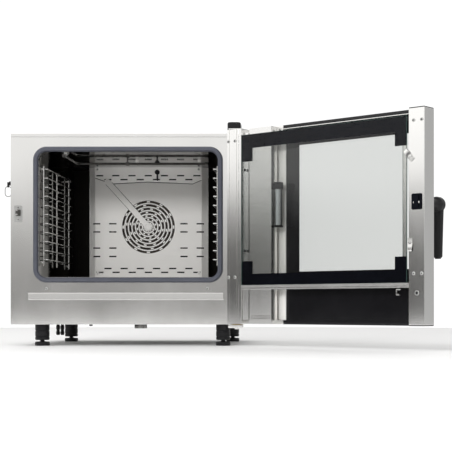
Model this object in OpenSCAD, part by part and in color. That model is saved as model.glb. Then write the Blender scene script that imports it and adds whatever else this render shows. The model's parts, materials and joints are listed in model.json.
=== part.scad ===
// Six-level combi steamer oven with a full-width door that carries the controls.
// Origin: on the floor, in the middle of the four feet. The front faces -Y.

/* [Casing] */
// Width of the casing
body_w = 860; // [780:1:1100]
// Depth of the casing, front plate to rear panel
body_d = 770; // [740:1:1000]
// Height of the casing above its feet
body_h = 707; // [690:1:900]
// Thickness of the casing sheets
sheet = 1.5; // [1:0.1:2.5]
// Thickness of the front plate
front_t = 2; // [1.5:0.1:3]

/* [Feet] */
// Height of the casing's underside above the floor
foot_h = 80; // [70:1:120]
// Distance between the feet across the oven
foot_pitch_x = 678; // [600:1:700]
// Distance between the feet front to back
foot_pitch_y = 540; // [480:1:560]
// Front feet's distance behind the front plate
foot_front = 60; // [45:1:90]
// Feet's middle to the right of the casing's middle
foot_shift = 13; // [0:1:16]
// Radius of a foot
foot_r = 27.5; // [22:0.5:30]
// Radius of the housing above each foot pad, in mm
housing_r = 26.5; // [22:0.5:30]
// Thickness of a foot's pad
pad_t = 15; // [10:1:20]
// Thread left showing above the pad
neck = 6; // [2:0.5:8]
// Radius of the foot's thread
stud_r = 8; // [6:0.5:10]
// How far a foot screws out
foot_travel = 20; // [5:1:25]

/* [Chamber] */
// Width of the cooking chamber
cav_w = 668; // [620:1:680]
// Height of the cooking chamber
cav_h = 469; // [450:1:480]
// Height of the chamber floor above the casing's underside
cav_lift = 175; // [170:1:185]
// Depth from the front plate to the air baffle
baffle_y = 548; // [530:1:560]
// Depth of the fan space behind the baffle
fan_space = 120; // [110:1:125]
// Chamber's middle to the right of the casing's middle
cav_shift = 4.5; // [0:0.5:10]
// Thickness of the chamber walls
liner_t = 2; // [1:0.1:2.5]
// Thickness of the insulation
wool_t = 40; // [20:1:44]
// Width of the air baffle
baffle_w = 496; // [470:1:510]

/* [Gasket] */
// Width of the gasket's rubber
gasket_w = 19; // [14:0.5:22]
// Outer corner radius of the gasket
gasket_r = 50; // [35:1:60]
// How far the gasket reaches over the chamber's edge
gasket_over = 2; // [0:0.5:3]

/* [Racks] */
// Number of rungs on each rack
rungs = 11; // [7:2:11]
// Distance between rungs
rung_pitch = 34; // [30:1:35]
// Height of the lowest rung above the chamber floor
rung_low = 67; // [55:1:80]
// How far a rung reaches in from the wall
rung_reach = 25; // [20:1:30]
// Radius of the rack's wire
wire_r = 2.5; // [2:0.1:3]
// Radius of the rack's uprights
upright_r = 3; // [2.5:0.1:4]

/* [Door] */
// Thickness of the door
door_t = 58; // [54:1:66]
// Gap between the front plate and the closed door's inner face
door_gap = 14; // [12:0.5:18]
// Door's reach past the hinge axis
tail = 21; // [16:1:21]
// Hinge axis, in from the casing's right side
hinge_in = 20.6; // [20.6:0.1:26]
// Hinge axis, out from the door's inner face
hinge_out = 29.7; // [26:0.1:32]
// Angle at which the door stands open
open_angle = 141.3; // [0:0.1:180]
// Width of the handle stile
stile_w = 61; // [55:1:70]
// Width of the hinge stile, hinge axis to glass
hinge_stile = 48; // [40:1:50]
// Wall of the stiles
stile_wall = 1.5; // [1:0.1:2]
// Width of the control panel from the hinge axis
panel_w = 217.5; // [214:0.5:240]
// Thickness of the glass panes
glass_t = 4; // [4:0.5:5]
// Radius of the hinge pins
pin_r = 8; // [6:0.5:10]
// Radial clearance of running fits
run_gap = 0.05; // [0.02:0.01:0.1]
// Gap between parts that pass each other
pass_gap = 0.3; // [0.2:0.05:0.5]

/* [Handle] */
// Height of the handle's pivot above the casing's underside
handle_z = 402.5; // [380:0.5:420]
// How far the handle stands out from the door
handle_out = 79; // [70:1:90]
// Radius of the handle's round head
head_r = 26; // [22:0.5:28]
// Length of the lever below the pivot
lever_len = 182; // [140:1:200]
// Radius of the handle's spindle
spindle_r = 6; // [5:0.5:8]

/* [Fan] */
// Radius of the fan wheel
fan_r = 118; // [90:1:130]
// Number of fan blades
blades = 18; // [12:1:24]
// Radius of the fan's shaft
shaft_r = 7; // [5:0.5:9]

/* [Hidden] */
$fn = 48;
seam = 0.3;                              // gap between sheets that are separate pieces
x_left = -body_w / 2;
x_right = body_w / 2;
z_low = foot_h;
z_top = foot_h + body_h;
cav_x0 = cav_shift - cav_w / 2;
cav_x1 = cav_shift + cav_w / 2;
cav_z0 = z_low + cav_lift;
cav_z1 = cav_z0 + cav_h;
back_y = baffle_y + fan_space;           // inside face of the chamber's rear wall
fan_z = cav_z0 + cav_h / 2 - 12.5;
hinge_x = x_right - hinge_in;
hinge_y = -door_gap - hinge_out;
door_z0 = z_low + 3;
door_z1 = z_top + 4;
door_len = hinge_x - x_left;             // hinge axis to the door's free edge
stile_s = door_len - stile_w;            // inner edge of the handle stile
pane_z0 = cav_z0 - 31.6;
pane_z1 = cav_z1 + 42;
pane_s0 = hinge_stile + 1.5;
pane_s1 = stile_s - 7;
pane_t0 = -1;                            // the inner pane's face, out from the door's inner plane
pane_pin = [pane_s0 + 3, pane_t0 + glass_t / 2];
pane_pin_r = 1.5;
latch_s = door_len - 28.5;
latch_z = z_low + handle_z;
grip_t = door_t + pass_gap;             // the handle's foot, clear of the door's face
box_s0 = 84;
box_s1 = 188;
box_t0 = 5;
box_t1 = 37;
lamp_r = 18;
lamp_t = box_t0 + 17;
lamp_s = box_s1 + pass_gap + lamp_r;
lamp_z0 = latch_z - 54.5;
lamp_z1 = latch_z + 105.5;
dial_z = z_low + 310;
button_z = z_low + 215;
panel_mid = (panel_w - tail) / 2;
panel_t = 2;
clip_s = stile_s + 8;
clip_zs = [z_low + 551, z_low + 274];
trough_x0 = x_left + 67;
trough_x1 = x_right - 72;
trough_z0 = z_low + 91;
motor_r = 62;
drain_r = 25;
drain_pipe_r = drain_r - 1;
drain_bore_r = drain_r - 3;
drain_y = 330;
vent_r = 30;
fan_clear = 10;
plug_z = z_low + 528;
plug_r = 8;
eye_z = plug_z - 11;                     // the eye that the ring hangs in

module block(a, b) translate(a) cube(b - a);
module rod(r, a, len, dir) // a straight rod from point a along x, y or z
  translate(a) rotate(dir == "x" ? [0, 90, 0] : dir == "y" ? [-90, 0, 0] : [0, 0, 0])
    cylinder(r = r, h = len);
module in_casing() translate([-foot_shift, -foot_front - foot_pitch_y / 2, 0]) children();
// Door frame: x runs from the hinge axis to the free edge, y out from the inner face.
module in_door()
  in_casing() translate([hinge_x, hinge_y, 0]) rotate([0, 0, 180 + open_angle])
    translate([0, -hinge_out, 0]) children();
module round_rect(x0, x1, y0, y1, r) {
  translate([x0 + r, y0]) square([x1 - x0 - 2 * r, y1 - y0]);
  translate([x0, y0 + r]) square([x1 - x0, y1 - y0 - 2 * r]);
  for (x = [x0 + r, x1 - r], y = [y0 + r, y1 - r]) translate([x, y]) circle(r);
}
// A flat shape drawn in x and z, standing from y = back towards the front
module upright_sheet(back, t) translate([0, back, 0]) rotate([90, 0, 0]) linear_extrude(t) children();

// ---- casing ----
module front_frame() color([0.86, 0.86, 0.85]) in_casing()
  upright_sheet(front_t, front_t) difference() {
    translate([x_left, z_low]) square([body_w, body_h]);
    round_rect(cav_x0, cav_x1, cav_z0, cav_z1, 6);
  }
module side_panel(x) color([0.8, 0.8, 0.8]) in_casing()
  block([x, front_t, z_low], [x + sheet, body_d - sheet, z_top]);
module left_side_panel() difference() {
  side_panel(x_left);
  in_casing() rod(plug_r + pass_gap, [x_left - 1, foot_front, plug_z], 5, "x");
}
module right_side_panel() side_panel(x_right - sheet);
module top_cover() color([0.85, 0.85, 0.85]) in_casing() difference() {
  block([x_left + sheet, front_t, z_top - sheet], [x_right - sheet, body_d - sheet, z_top]);
  rod(vent_r - sheet, [cav_shift + 120, body_d - 120, z_top - 5], 10, "z");
}
module rear_panel() color([0.75, 0.75, 0.75]) in_casing() difference() {
  block([x_left, body_d - sheet, z_low], [x_right, body_d, z_top]);
  for (i = [0:13]) block([120 + 16 * i, body_d - 5, z_low + 60], [126 + 16 * i, body_d + 1, z_low + 130]);
}
module base_pan() color([0.7, 0.7, 0.7]) in_casing() difference() {
  block([x_left + sheet, front_t, z_low], [x_right - sheet, body_d - sheet, z_low + 2]);
  rod(drain_pipe_r + pass_gap, [cav_shift, drain_y, z_low - 1], 5, "z");
}
module chamber_liner() color([0.82, 0.82, 0.82]) in_casing() {
  for (x = [cav_x0 - liner_t, cav_x1])
    block([x, front_t, cav_z0 - liner_t], [x + liner_t, back_y + liner_t, cav_z1 + liner_t]);
  for (z = [cav_z0 - liner_t, cav_z1]) difference() {
    block([cav_x0 + seam, front_t, z], [cav_x1 - seam, back_y - seam, z + liner_t]);
    if (z < cav_z0) rod(drain_bore_r, [cav_shift, drain_y, z - 1], liner_t + 2, "z");
  }
  difference() {
    block([cav_x0 + seam, back_y, cav_z0], [cav_x1 - seam, back_y + liner_t, cav_z1]);
    rod(fan_clear, [cav_shift, back_y - 1, fan_z], liner_t + 2, "y");
  }
}
module insulation() color([0.85, 0.8, 0.6]) in_casing() {
  o = liner_t + seam;
  for (x = [cav_x0 - o - wool_t, cav_x1 + o])
    block([x, front_t, cav_z0 - o], [x + wool_t, back_y, cav_z1 + o]);
  for (z = [cav_z0 - o - wool_t, cav_z1 + o]) difference() {
    block([cav_x0 - o, front_t, z], [cav_x1 + o, back_y, z + wool_t]);
    rod(drain_r + 1, [cav_shift, drain_y, z_low], cav_z0 - z_low, "z");
  }
  difference() {
    block([cav_x0, back_y + o, cav_z0], [cav_x1, back_y + o + wool_t, cav_z1]);
    rod(motor_r + 2, [cav_shift, back_y, fan_z], wool_t + 10, "y");
  }
}
module door_gasket() color([0.28, 0.28, 0.31]) in_casing() {
  depth = door_gap + pane_t0 - pass_gap;
  x0 = cav_x0 + gasket_over - gasket_w;
  x1 = cav_x1 - gasket_over + gasket_w;
  z0 = cav_z0 - 1 - gasket_w;
  z1 = cav_z1 - 5 + gasket_w;
  difference() {
    upright_sheet(0, depth) round_rect(x0, x1, z0, z1, gasket_r);
    upright_sheet(1, depth + 2)
      round_rect(x0 + gasket_w, x1 - gasket_w, z0 + gasket_w, z1 - gasket_w, gasket_r - gasket_w);
  }
}
// ---- chamber fittings ----
slot_w = 30;
slot_h = 5.5;
slot_pitch = 67.3;
module slot_row(n, z) for (i = [0:n - 1])
  translate([cav_shift + (i - (n - 1) / 2) * slot_pitch - slot_w / 2, z]) square([slot_w, slot_h]);
grille_rings = 7;
grille_step = 14.7;
module grille_ring(i) translate([cav_shift, fan_z]) rotate(i * 20) difference() {
  circle(r = 20 + i * grille_step);
  circle(r = 14 + i * grille_step);
  for (a = [0:30 + 6 * (i % 2):179]) rotate(a) square([300, 7 + i], center = true);
}
module air_baffle() color([0.78, 0.77, 0.74]) in_casing()
  upright_sheet(baffle_y + sheet, sheet) difference() {
    translate([cav_shift - baffle_w / 2, cav_z0]) square([baffle_w, cav_h]);
    slot_row(7, cav_z1 - 36.5);
    slot_row(6, cav_z1 - 52.5);
    slot_row(6, cav_z0 + 47);
    slot_row(7, cav_z0 + 31);
    for (z = [233, 199, 132, 97], side = [-1, 1], col = [2.2, 3.2])
      translate([cav_shift + side * col * slot_pitch - slot_w / 2, cav_z0 + z]) square([slot_w, slot_h]);
    for (i = [0:grille_rings - 1]) grille_ring(i);
  }
module baffle_standoffs() color([0.7, 0.7, 0.7]) in_casing() for (x = [-1, 1], z = [30, cav_h - 8])
  translate([cav_shift + x * 210, 0, cav_z0 + z]) {
    rod(5, [0, baffle_y + sheet, 0], fan_space - sheet, "y");
    rod(6, [0, baffle_y - 3, 0], 3, "y");
  }
channel_top = [-170, 188];              // upper end, from the fan's middle
channel_w = 23;
// Raised channel that brings water to the fan's middle
module steam_channel() color([0.8, 0.79, 0.77]) in_casing() {
  upright_sheet(baffle_y, 7) translate([cav_shift, fan_z]) {
    rotate(atan2(channel_top[1], channel_top[0])) translate([0, -channel_w / 2]) square([norm(channel_top), channel_w]);
    translate(channel_top) circle(channel_w / 2 - 0.1);
    circle(16);
  }
}
rack_y = [60, 290, 520];
rack_gap = 5;                            // wall to the uprights
// A rack stands at the wall x, and its rungs point to the side dir
module rack(x, dir) color([0.75, 0.75, 0.75]) in_casing() {
  ux = x + dir * (rack_gap + upright_r);
  bar = x + dir * (rung_reach - wire_r);
  arm0 = ux + dir * (upright_r + 0.2);
  for (y = rack_y) rod(upright_r, [ux, y, cav_z0 + rung_low - 22], (rungs - 1) * rung_pitch + 32, "z");
  for (i = [0:rungs - 1]) translate([0, 0, cav_z0 + rung_low + i * rung_pitch]) {
    rod(wire_r, [bar, rack_y[0], 0], rack_y[2] - rack_y[0], "y");
    for (y = rack_y) rod(wire_r, [min(arm0, bar), y, 0], abs(bar - arm0), "x");
    for (y = [rack_y[0], rack_y[2]]) translate([bar, y, 0]) sphere(wire_r);
  }
}
module rack_left() rack(cav_x0, 1);
module rack_right() rack(cav_x1, -1);
pipe_x = cav_x0 + 90.5;
pipe_y = 283;
pipe_z = cav_z1 - 16;
pipe_r = 5;
module wash_pipe() color([0.72, 0.71, 0.7]) in_casing() {
  rod(pipe_r, [pipe_x, 22, pipe_z], pipe_y - 22, "y");
  rod(pipe_r, [pipe_x, pipe_y, pipe_z], 517, "x");
  rod(8, [pipe_x, pipe_y, pipe_z - 8], 16, "z");
  rod(7, [pipe_x + 500, pipe_y, pipe_z], 14, "x");
}
// Hooks that carry the racks and clamps that hold the wash pipe
module chamber_hooks() color([0.7, 0.7, 0.7]) in_casing() {
  for (y = [rack_y[0], rack_y[2]], z = [rung_low - 10, rung_low + (rungs - 1) * rung_pitch]) {
    rod(4, [cav_x0, y, cav_z0 + z], rack_gap, "x");
    rod(4, [cav_x1 - rack_gap, y, cav_z0 + z], rack_gap, "x");
  }
  for (p = [[pipe_x, 60], [pipe_x + 236, pipe_y], [pipe_x + 480, pipe_y]])
    block([p[0] - 6, p[1] - 6, pipe_z + pipe_r], [p[0] + 6, p[1] + 6, cav_z1]);
}
module chamber_sensor() color([0.15, 0.15, 0.15]) in_casing() {
  x = cav_shift + 38;
  rod(5.5, [x, baffle_y - 7, cav_z1 - 36], 7, "y");
  rod(5.5, [x, baffle_y - 7, cav_z1 - 20], 7, "y");
  block([x - 5.5, baffle_y - 7, cav_z1 - 36], [x + 5.5, baffle_y, cav_z1 - 20]);
}
heater_r = 158;
module ring_heater() color([0.35, 0.34, 0.33]) in_casing() translate([cav_shift, 0, fan_z]) {
  for (y = [0, 16, 32]) translate([0, baffle_y + 35 + y, 0]) rotate([90, 0, 0])
    rotate_extrude() translate([heater_r, 0]) circle(4.5, $fn = 24);
  for (a = [20, 160, 270]) rotate([0, a, 0]) rod(4, [heater_r, baffle_y + 35, 0], fan_space - 35, "y");
}
module fan_motor() color([0.3, 0.3, 0.32]) in_casing() difference() {
  rod(motor_r, [cav_shift, back_y + liner_t, fan_z], 70, "y");
  rod(shaft_r + run_gap, [cav_shift, back_y, fan_z], 80, "y");
}
// Strainer on the chamber floor and the pipe below it
module drain() color([0.65, 0.65, 0.65]) in_casing() {
  difference() {
    rod(drain_r + 12, [cav_shift, drain_y, cav_z0], 2.5, "z");
    for (ring = [1, 2], a = [0:60 / ring:359])
      rod(2.5, [cav_shift + 9 * ring * cos(a), drain_y + 9 * ring * sin(a), cav_z0 - 1], 5, "z");
  }
  difference() {
    union() {
      rod(drain_r, [cav_shift, drain_y, z_low - 20], 18, "z");
      rod(drain_pipe_r, [cav_shift, drain_y, z_low - 20], cav_lift - liner_t + 20, "z");
    }
    rod(drain_bore_r, [cav_shift, drain_y, z_low - 21], cav_lift + 30, "z");
  }
}
module water_inlets() color([0.75, 0.6, 0.3]) in_casing() for (x = [-300, -240])
  rod(13.2, [x, body_d, z_low + 75], 25, "y");
module vent_stack() color([0.75, 0.75, 0.75]) in_casing() difference() {
  rod(vent_r, [cav_shift + 120, body_d - 120, z_top], 60, "z");
  rod(vent_r - sheet, [cav_shift + 120, body_d - 120, z_top - 1], 62, "z");
}
module under_glands() color([0.08, 0.08, 0.08]) in_casing() {
  for (x = [x_left + 48, x_left + 66]) rod(6.5, [x, foot_front + foot_pitch_y, z_low - 53], 53, "z");
  rod(5, [x_left + 186, foot_front + foot_pitch_y, z_low - 15], 15, "z");
}
// ---- front fittings ----
module strike() color([0.3, 0.3, 0.3]) in_casing() {
  x = hinge_x - latch_s;
  block([x - 15, -2, latch_z - 24], [x + 15, 0, latch_z + 38]);
  block([x - 5, -door_gap - 18, latch_z + 5], [x + 5, -2, latch_z + 16]);
}
module drip_trough() color([0.8, 0.8, 0.8]) in_casing() {
  y = -12;
  block([trough_x0, y, trough_z0], [trough_x1, 0, trough_z0 + 2]);
  block([trough_x0, y, trough_z0 + 2 + seam], [trough_x1, y + sheet, trough_z0 + 26]);
  block([trough_x0, -sheet, trough_z0 + 2 + seam], [trough_x1, 0, trough_z0 + 26]);
  for (x = [trough_x0, trough_x1 - sheet])
    block([x, y + sheet + seam, trough_z0 + 2 + seam], [x + sheet, -sheet - seam, trough_z0 + 26]);
}
module front_screws() color([0.4, 0.4, 0.4]) in_casing() for (x = [-298, 298]) rod(4.5, [x, -2, z_low + 133], 2, "y");
module hinge_bracket_upper() color([0.75, 0.75, 0.75]) in_casing() {
  block([hinge_x - 29, -hinge_in - 40, door_z1 + 0.5], [x_right + 5, 45, door_z1 + 6]);
  block([hinge_x - 29, 0, z_top], [x_right, 45, door_z1 + 0.5]);
  rod(pin_r, [hinge_x, hinge_y, door_z1 - 18], 20, "z");
}
module hinge_cap() color([0.06, 0.06, 0.06]) in_casing() {
  rod(18, [hinge_x - 7, hinge_y + 22, door_z1 + 6], 24, "z");
  block([hinge_x - 39 + 14, hinge_y + 10, door_z1 + 6], [hinge_x + 11, hinge_y + 76, door_z1 + 27]);
}
module hinge_bracket_lower() color([0.7, 0.7, 0.7]) in_casing() {
  block([hinge_x - 30, hinge_y - 20, z_low - 12], [x_right + 4, foot_front - foot_r - 6, z_low]);
  rod(pin_r, [hinge_x, hinge_y, z_low - 17], 17 + 20, "z");
  rod(15, [hinge_x, hinge_y, z_low], 3 - pass_gap, "z"); // washer that the door rides on
}
module side_plug() color([0.05, 0.05, 0.05]) in_casing() {
  rod(plug_r, [x_left - 21, foot_front, plug_z], 25, "x");
  difference() {
    block([x_left - 27, foot_front - 4, eye_z - 4], [x_left - 21, foot_front + 4, plug_z + 5]);
    rod(1.8, [x_left - 30, foot_front, eye_z], 12, "x");
  }
}
module pull_ring() color([0.6, 0.6, 0.6]) in_casing() translate([x_left - 24, foot_front, eye_z]) {
  w = 11.8;
  for (x = [-w, w]) rod(1.2, [x, 0, -w - 15], 15, "z");
  translate([0, 0, -w]) rotate([90, 0, 0]) rotate_extrude(angle = 180) translate([w, 0]) circle(1.2, $fn = 24);
  translate([0, 0, -w - 15]) rotate([90, 180, 0]) rotate_extrude(angle = 180) translate([w, 0]) circle(1.2, $fn = 24);
}
module at_feet() for (x = [-1, 1], y = [-1, 1]) translate([x * foot_pitch_x / 2, y * foot_pitch_y / 2, 0]) children();
module foot_housings() color([0.05, 0.05, 0.05]) at_feet() difference() {
  translate([0, 0, pad_t + neck]) cylinder(r = housing_r, h = foot_h - pad_t - neck);
  cylinder(r = stud_r + run_gap, h = foot_h - 6);
}
module foot_pad(x, y) color([0.07, 0.07, 0.07]) translate([x * foot_pitch_x / 2, y * foot_pitch_y / 2, 0]) {
  cylinder(r = foot_r, h = pad_t);
  translate([0, 0, pad_t]) cylinder(r = stud_r, h = foot_h - pad_t - 8);
}

// ---- door ----
module stile_handle() color([0.75, 0.74, 0.72]) in_door() difference() {
  block([stile_s, 0, door_z0], [door_len, door_t, door_z1]);
  block([stile_s + stile_wall, stile_wall, door_z0 + 2], [door_len - stile_wall, door_t - stile_wall, door_z1 - 2]);
  block([latch_s - 20, -1, latch_z - 23.5], [latch_s + 20, 5, latch_z + 28.5]);
  rod(spindle_r + run_gap, [latch_s, door_t - 5, latch_z], 10, "y");
  for (z = clip_zs) rod(3 + run_gap, [clip_s, -1, z], 5, "y");
}
module stile_hinge() color([0.75, 0.74, 0.72]) in_door() difference() {
  t1 = door_t - panel_t;
  block([-tail, 0, door_z0], [hinge_stile, t1, door_z1]);
  block([stile_wall - tail, stile_wall, door_z0 - 1], [hinge_stile - stile_wall, t1 - stile_wall, door_z1 + 1]);
}
module hinge_bushings() color([0.8, 0.7, 0.4]) in_door() for (z = [door_z0, door_z1 - 20]) difference() {
  block([stile_wall - tail, stile_wall, z], [hinge_stile - stile_wall, door_t - panel_t - stile_wall, z + 20]);
  rod(pin_r + run_gap, [0, hinge_out, z - 1], 22, "z");
}
module door_rails() color([0.86, 0.86, 0.86]) in_door() for (z = [door_z0, door_z1 - 15])
  block([hinge_stile, box_t1, z], [stile_s, door_t - glass_t - 0.5, z + 15]);
module outer_glass() color([0.8, 0.85, 0.85, 0.35]) in_door()
  block([panel_w, door_t - glass_t, door_z0], [stile_s, door_t, door_z1]);
module outer_mask() color([0.02, 0.02, 0.02]) in_door() difference() {
  t0 = door_t - glass_t - 0.5;
  block([panel_w, t0, door_z0], [stile_s, door_t - glass_t, door_z1]);
  block([panel_w + 60, t0 - 1, cav_z0 + 15], [stile_s - 28, door_t, cav_z1 - 7]);
}
module control_fascia() color([0.8, 0.8, 0.8]) in_door() difference() {
  union() {
    block([-tail, door_t - panel_t, door_z0], [panel_w, door_t, door_z1]);
    rod(14, [panel_mid, door_t, button_z], 2, "y"); // ring around the button
  }
  rod(4 + run_gap, [panel_mid, door_t - 5, dial_z], 10, "y");
  rod(9 + pass_gap, [panel_mid, door_t - 5, button_z], 10, "y");
}
module display() color([0.03, 0.03, 0.04]) in_door()
  block([panel_mid - 72, door_t, dial_z + 60], [panel_mid + 72, door_t + 3, dial_z + 320]);
module electronics_box() color([0.75, 0.75, 0.74]) in_door() difference() {
  block([box_s0, box_t0, door_z0 + 1], [box_s1, box_t1, door_z1 - 3]);
  block([box_s0 + sheet, box_t0 + sheet, door_z0 + 3], [box_s1 - sheet, box_t1 - sheet, door_z1 - 5]);
  for (i = [0:12]) block([box_s0 + 9 + 7 * i, box_t0 - 1, door_z0 + 17.6], [box_s0 + 12 + 7 * i, 8, door_z0 + 34.3]);
}
module lamp_tube() color([0.9, 0.9, 0.88, 0.6]) in_door()
  rod(15, [lamp_s, lamp_t, lamp_z0 + 7], lamp_z1 - lamp_z0 - 32, "z");
module lamp_caps() color([0.2, 0.2, 0.2]) in_door() {
  rod(lamp_r, [lamp_s, lamp_t, lamp_z1 - 25], 25, "z");
  rod(lamp_r - 0.5, [lamp_s, lamp_t, lamp_z0], 7, "z");
}
module latch_housing() color([0.05, 0.05, 0.05]) in_door() {
  difference() {
    block([latch_s - 20, -2, latch_z - 23.5], [latch_s + 20, 28, latch_z + 28.5]);
    block([latch_s - 8, -3, latch_z - 15], [latch_s + 8, 24, latch_z + 22]);
  }
  rod(2.5, [latch_s - 8, 3, latch_z], 16, "x");
}
// Rail under the swinging pane and bracket above it, both bored for its pins
module glass_rail() color([0.85, 0.85, 0.85]) in_door() difference() {
  union() {
    block([hinge_stile, pane_t0, pane_z0 - 16], [stile_s, box_t0 - pass_gap, pane_z0 - pass_gap]);
    block([hinge_stile, pane_t0, pane_z1 + pass_gap], [hinge_stile + 9, pane_t0 + 6, pane_z1 + 9]);
  }
  for (z = [pane_z0 - 7, pane_z1 - 1])
    rod(pane_pin_r + run_gap, [pane_pin[0], pane_pin[1], z], 8, "z");
}
module door_screws() color([0.35, 0.35, 0.35]) in_door() {
  for (z = [door_z0 + 165.5 + 4.5, door_z1 - 42.5], s = [door_len - 41, door_len - 10, 18.5, -15 + 2])
    rod(3.6, [s, -1.5, z], 1.5, "y");
  rod(8, [latch_s, -2, z_low + 110], 2, "y"); // round plug below the latch
}
module handle() color([0.05, 0.05, 0.05]) in_door() {
  rod(22, [latch_s, grip_t, latch_z], 10, "y");
  rod(17, [latch_s, grip_t + 10, latch_z], handle_out - 40, "y");
  rod(head_r, [latch_s, grip_t + handle_out - 30, latch_z], 30, "y");
  translate([latch_s, grip_t + handle_out - 30, latch_z]) hull() {
    translate([-15, 6, -head_r - 6.2]) cube([30, 20, 6]);
    for (x = [-9, 9]) translate([x, -2, 12 - lever_len])
      rotate([-90, 0, 0]) cylinder(r = 6, h = 15, $fn = 32);
  }
}
module handle_spindle() color([0.6, 0.6, 0.6]) in_door() {
  rod(spindle_r, [latch_s, 36, latch_z], grip_t - 36, "y");
  rod(12, [latch_s, 30, latch_z], 6, "y");
}
// A turning clip on the handle stile, its arm turned by a degrees from upright
module clip(z, a) color([0.5, 0.5, 0.5]) in_door() translate([clip_s, 0, z]) {
  rod(6, [0, pane_t0 - 3.3, 0], 3, "y");
  rod(3, [0, pane_t0 - 0.3, 0], 5, "y");
  rotate([0, a, 0]) translate([-5, pane_t0 - 3.3, 0]) cube([10, 3, 26]);
}
module clip_top() clip(clip_zs[0], -40);
module clip_bottom() clip(clip_zs[1], 180);
module inner_glass() color([0.8, 0.85, 0.85, 0.35]) in_door() {
  block([pane_s0, pane_t0, pane_z0], [pane_s1, pane_t0 + glass_t, pane_z1]);
}
// Bands printed on the back of the swinging pane, with deeper corners
module glass_bands() color([0.02, 0.02, 0.02]) in_door() {
  t = pane_t0 + glass_t;
  for (side = [0, 1]) {
    z0 = side == 0 ? pane_z0 : pane_z1 - 49;
    z1 = side == 0 ? pane_z0 + 41 : pane_z1;
    block([pane_s0, t, z0], [pane_s1, t + 0.4, z1]);
    for (s = [pane_s0, pane_s1 - 49])
      block([s, t, side == 0 ? z0 : z0 - 47], [s + 49, t + 0.4, side == 0 ? z1 + 45 : z1]);
  }
}
module glass_pins() color([0.5, 0.5, 0.5]) in_door() {
  rod(pane_pin_r, [pane_pin[0], pane_pin[1], pane_z1], 6.5, "z");
  rod(pane_pin_r, [pane_pin[0], pane_pin[1], pane_z0 - 6.5], 6.5, "z");
}
module fan_wheel() color([0.7, 0.7, 0.7]) in_casing() translate([cav_shift, baffle_y, fan_z]) {
  rod(fan_r, [0, 92, 0], 2, "y");
  difference() {
    rod(fan_r, [0, 24, 0], 2, "y");
    rod(fan_r - 26, [0, 23, 0], 4, "y");
  }
  for (a = [0:360 / blades:359]) rotate([0, a, 0])
    translate([fan_r - 13, 0, 0]) rotate([0, 30, 0]) translate([-11, 25, -0.75]) cube([22, 68, 1.5]);
  rod(20, [0, 74, 0], 19, "y");
  rod(shaft_r, [0, 93, 0], fan_space - 93 + 60, "y");
}
module dial() color([0.1, 0.1, 0.1]) in_door() difference() {
  union() {
    rod(22, [panel_mid, door_t + pass_gap, dial_z], 18, "y");
    rod(4, [panel_mid, door_t - 8, dial_z], 8 + pass_gap, "y");
  }
  block([panel_mid - 1, door_t + 17, dial_z + 8], [panel_mid + 1, door_t + 30, dial_z + 30]);
}
module power_button() color([0.6, 0.6, 0.6]) in_door()
  rod(9, [panel_mid, door_t - 3, button_z], 8, "y");

front_frame();
left_side_panel();
right_side_panel();
top_cover();
rear_panel();
base_pan();
chamber_liner();
insulation();
door_gasket();
air_baffle();
baffle_standoffs();
steam_channel();
rack_left();
rack_right();
chamber_hooks();
wash_pipe();
chamber_sensor();
ring_heater();
fan_motor();
drain();
water_inlets();
vent_stack();
under_glands();
strike();
drip_trough();
front_screws();
hinge_bracket_upper();
hinge_cap();
hinge_bracket_lower();
side_plug();
foot_housings();
stile_handle();
stile_hinge();
hinge_bushings();
door_rails();
outer_glass();
outer_mask();
control_fascia();
display();
electronics_box();
lamp_tube();
lamp_caps();
latch_housing();
glass_rail();
door_screws();
handle();
handle_spindle();
clip_top();
clip_bottom();
inner_glass();
glass_bands();
glass_pins();
fan_wheel();
foot_pad(-1, -1);  // foot_pad_fl
foot_pad(1, -1);  // foot_pad_fr
foot_pad(-1, 1);  // foot_pad_rl
foot_pad(1, 1);  // foot_pad_rr
dial();
power_button();
pull_ring();
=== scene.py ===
import json
import math

import bmesh
import bpy
from mathutils import Matrix, Vector


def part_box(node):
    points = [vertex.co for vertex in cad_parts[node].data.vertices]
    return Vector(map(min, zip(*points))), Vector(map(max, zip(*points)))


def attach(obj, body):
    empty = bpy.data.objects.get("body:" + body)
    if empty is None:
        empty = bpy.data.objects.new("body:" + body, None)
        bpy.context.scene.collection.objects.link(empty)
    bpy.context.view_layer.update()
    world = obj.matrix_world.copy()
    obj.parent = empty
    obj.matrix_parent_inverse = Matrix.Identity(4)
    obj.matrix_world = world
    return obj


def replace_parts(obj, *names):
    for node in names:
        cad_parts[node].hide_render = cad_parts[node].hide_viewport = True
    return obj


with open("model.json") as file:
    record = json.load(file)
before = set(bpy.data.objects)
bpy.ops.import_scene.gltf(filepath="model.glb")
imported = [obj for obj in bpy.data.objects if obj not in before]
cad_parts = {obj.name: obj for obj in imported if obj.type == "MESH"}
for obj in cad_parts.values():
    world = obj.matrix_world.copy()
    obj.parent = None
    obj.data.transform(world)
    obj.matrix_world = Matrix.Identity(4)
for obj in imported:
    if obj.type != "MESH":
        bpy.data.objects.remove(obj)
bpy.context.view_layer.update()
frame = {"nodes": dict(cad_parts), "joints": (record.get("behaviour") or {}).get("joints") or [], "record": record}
nodes = frame["nodes"]
joints = {joint["name"]: joint for joint in frame["joints"]}
mm = 0.001
print("stage: frame loaded,", len(nodes), "nodes")

class Value:
    # a node's output socket that takes + and * and makes Math nodes
    def __init__(self, finish, socket):
        self.finish = finish
        self.socket = socket

    def math(self, operation, first, second):
        return self.finish.add("ShaderNodeMath", {"operation": operation}, {0: first, 1: second})

    def __add__(self, other):
        return self.math("ADD", self, other)

    def __radd__(self, other):
        return self.math("ADD", other, self)

    def __mul__(self, other):
        return self.math("MULTIPLY", self, other)

    def __rmul__(self, other):
        return self.math("MULTIPLY", other, self)


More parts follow.
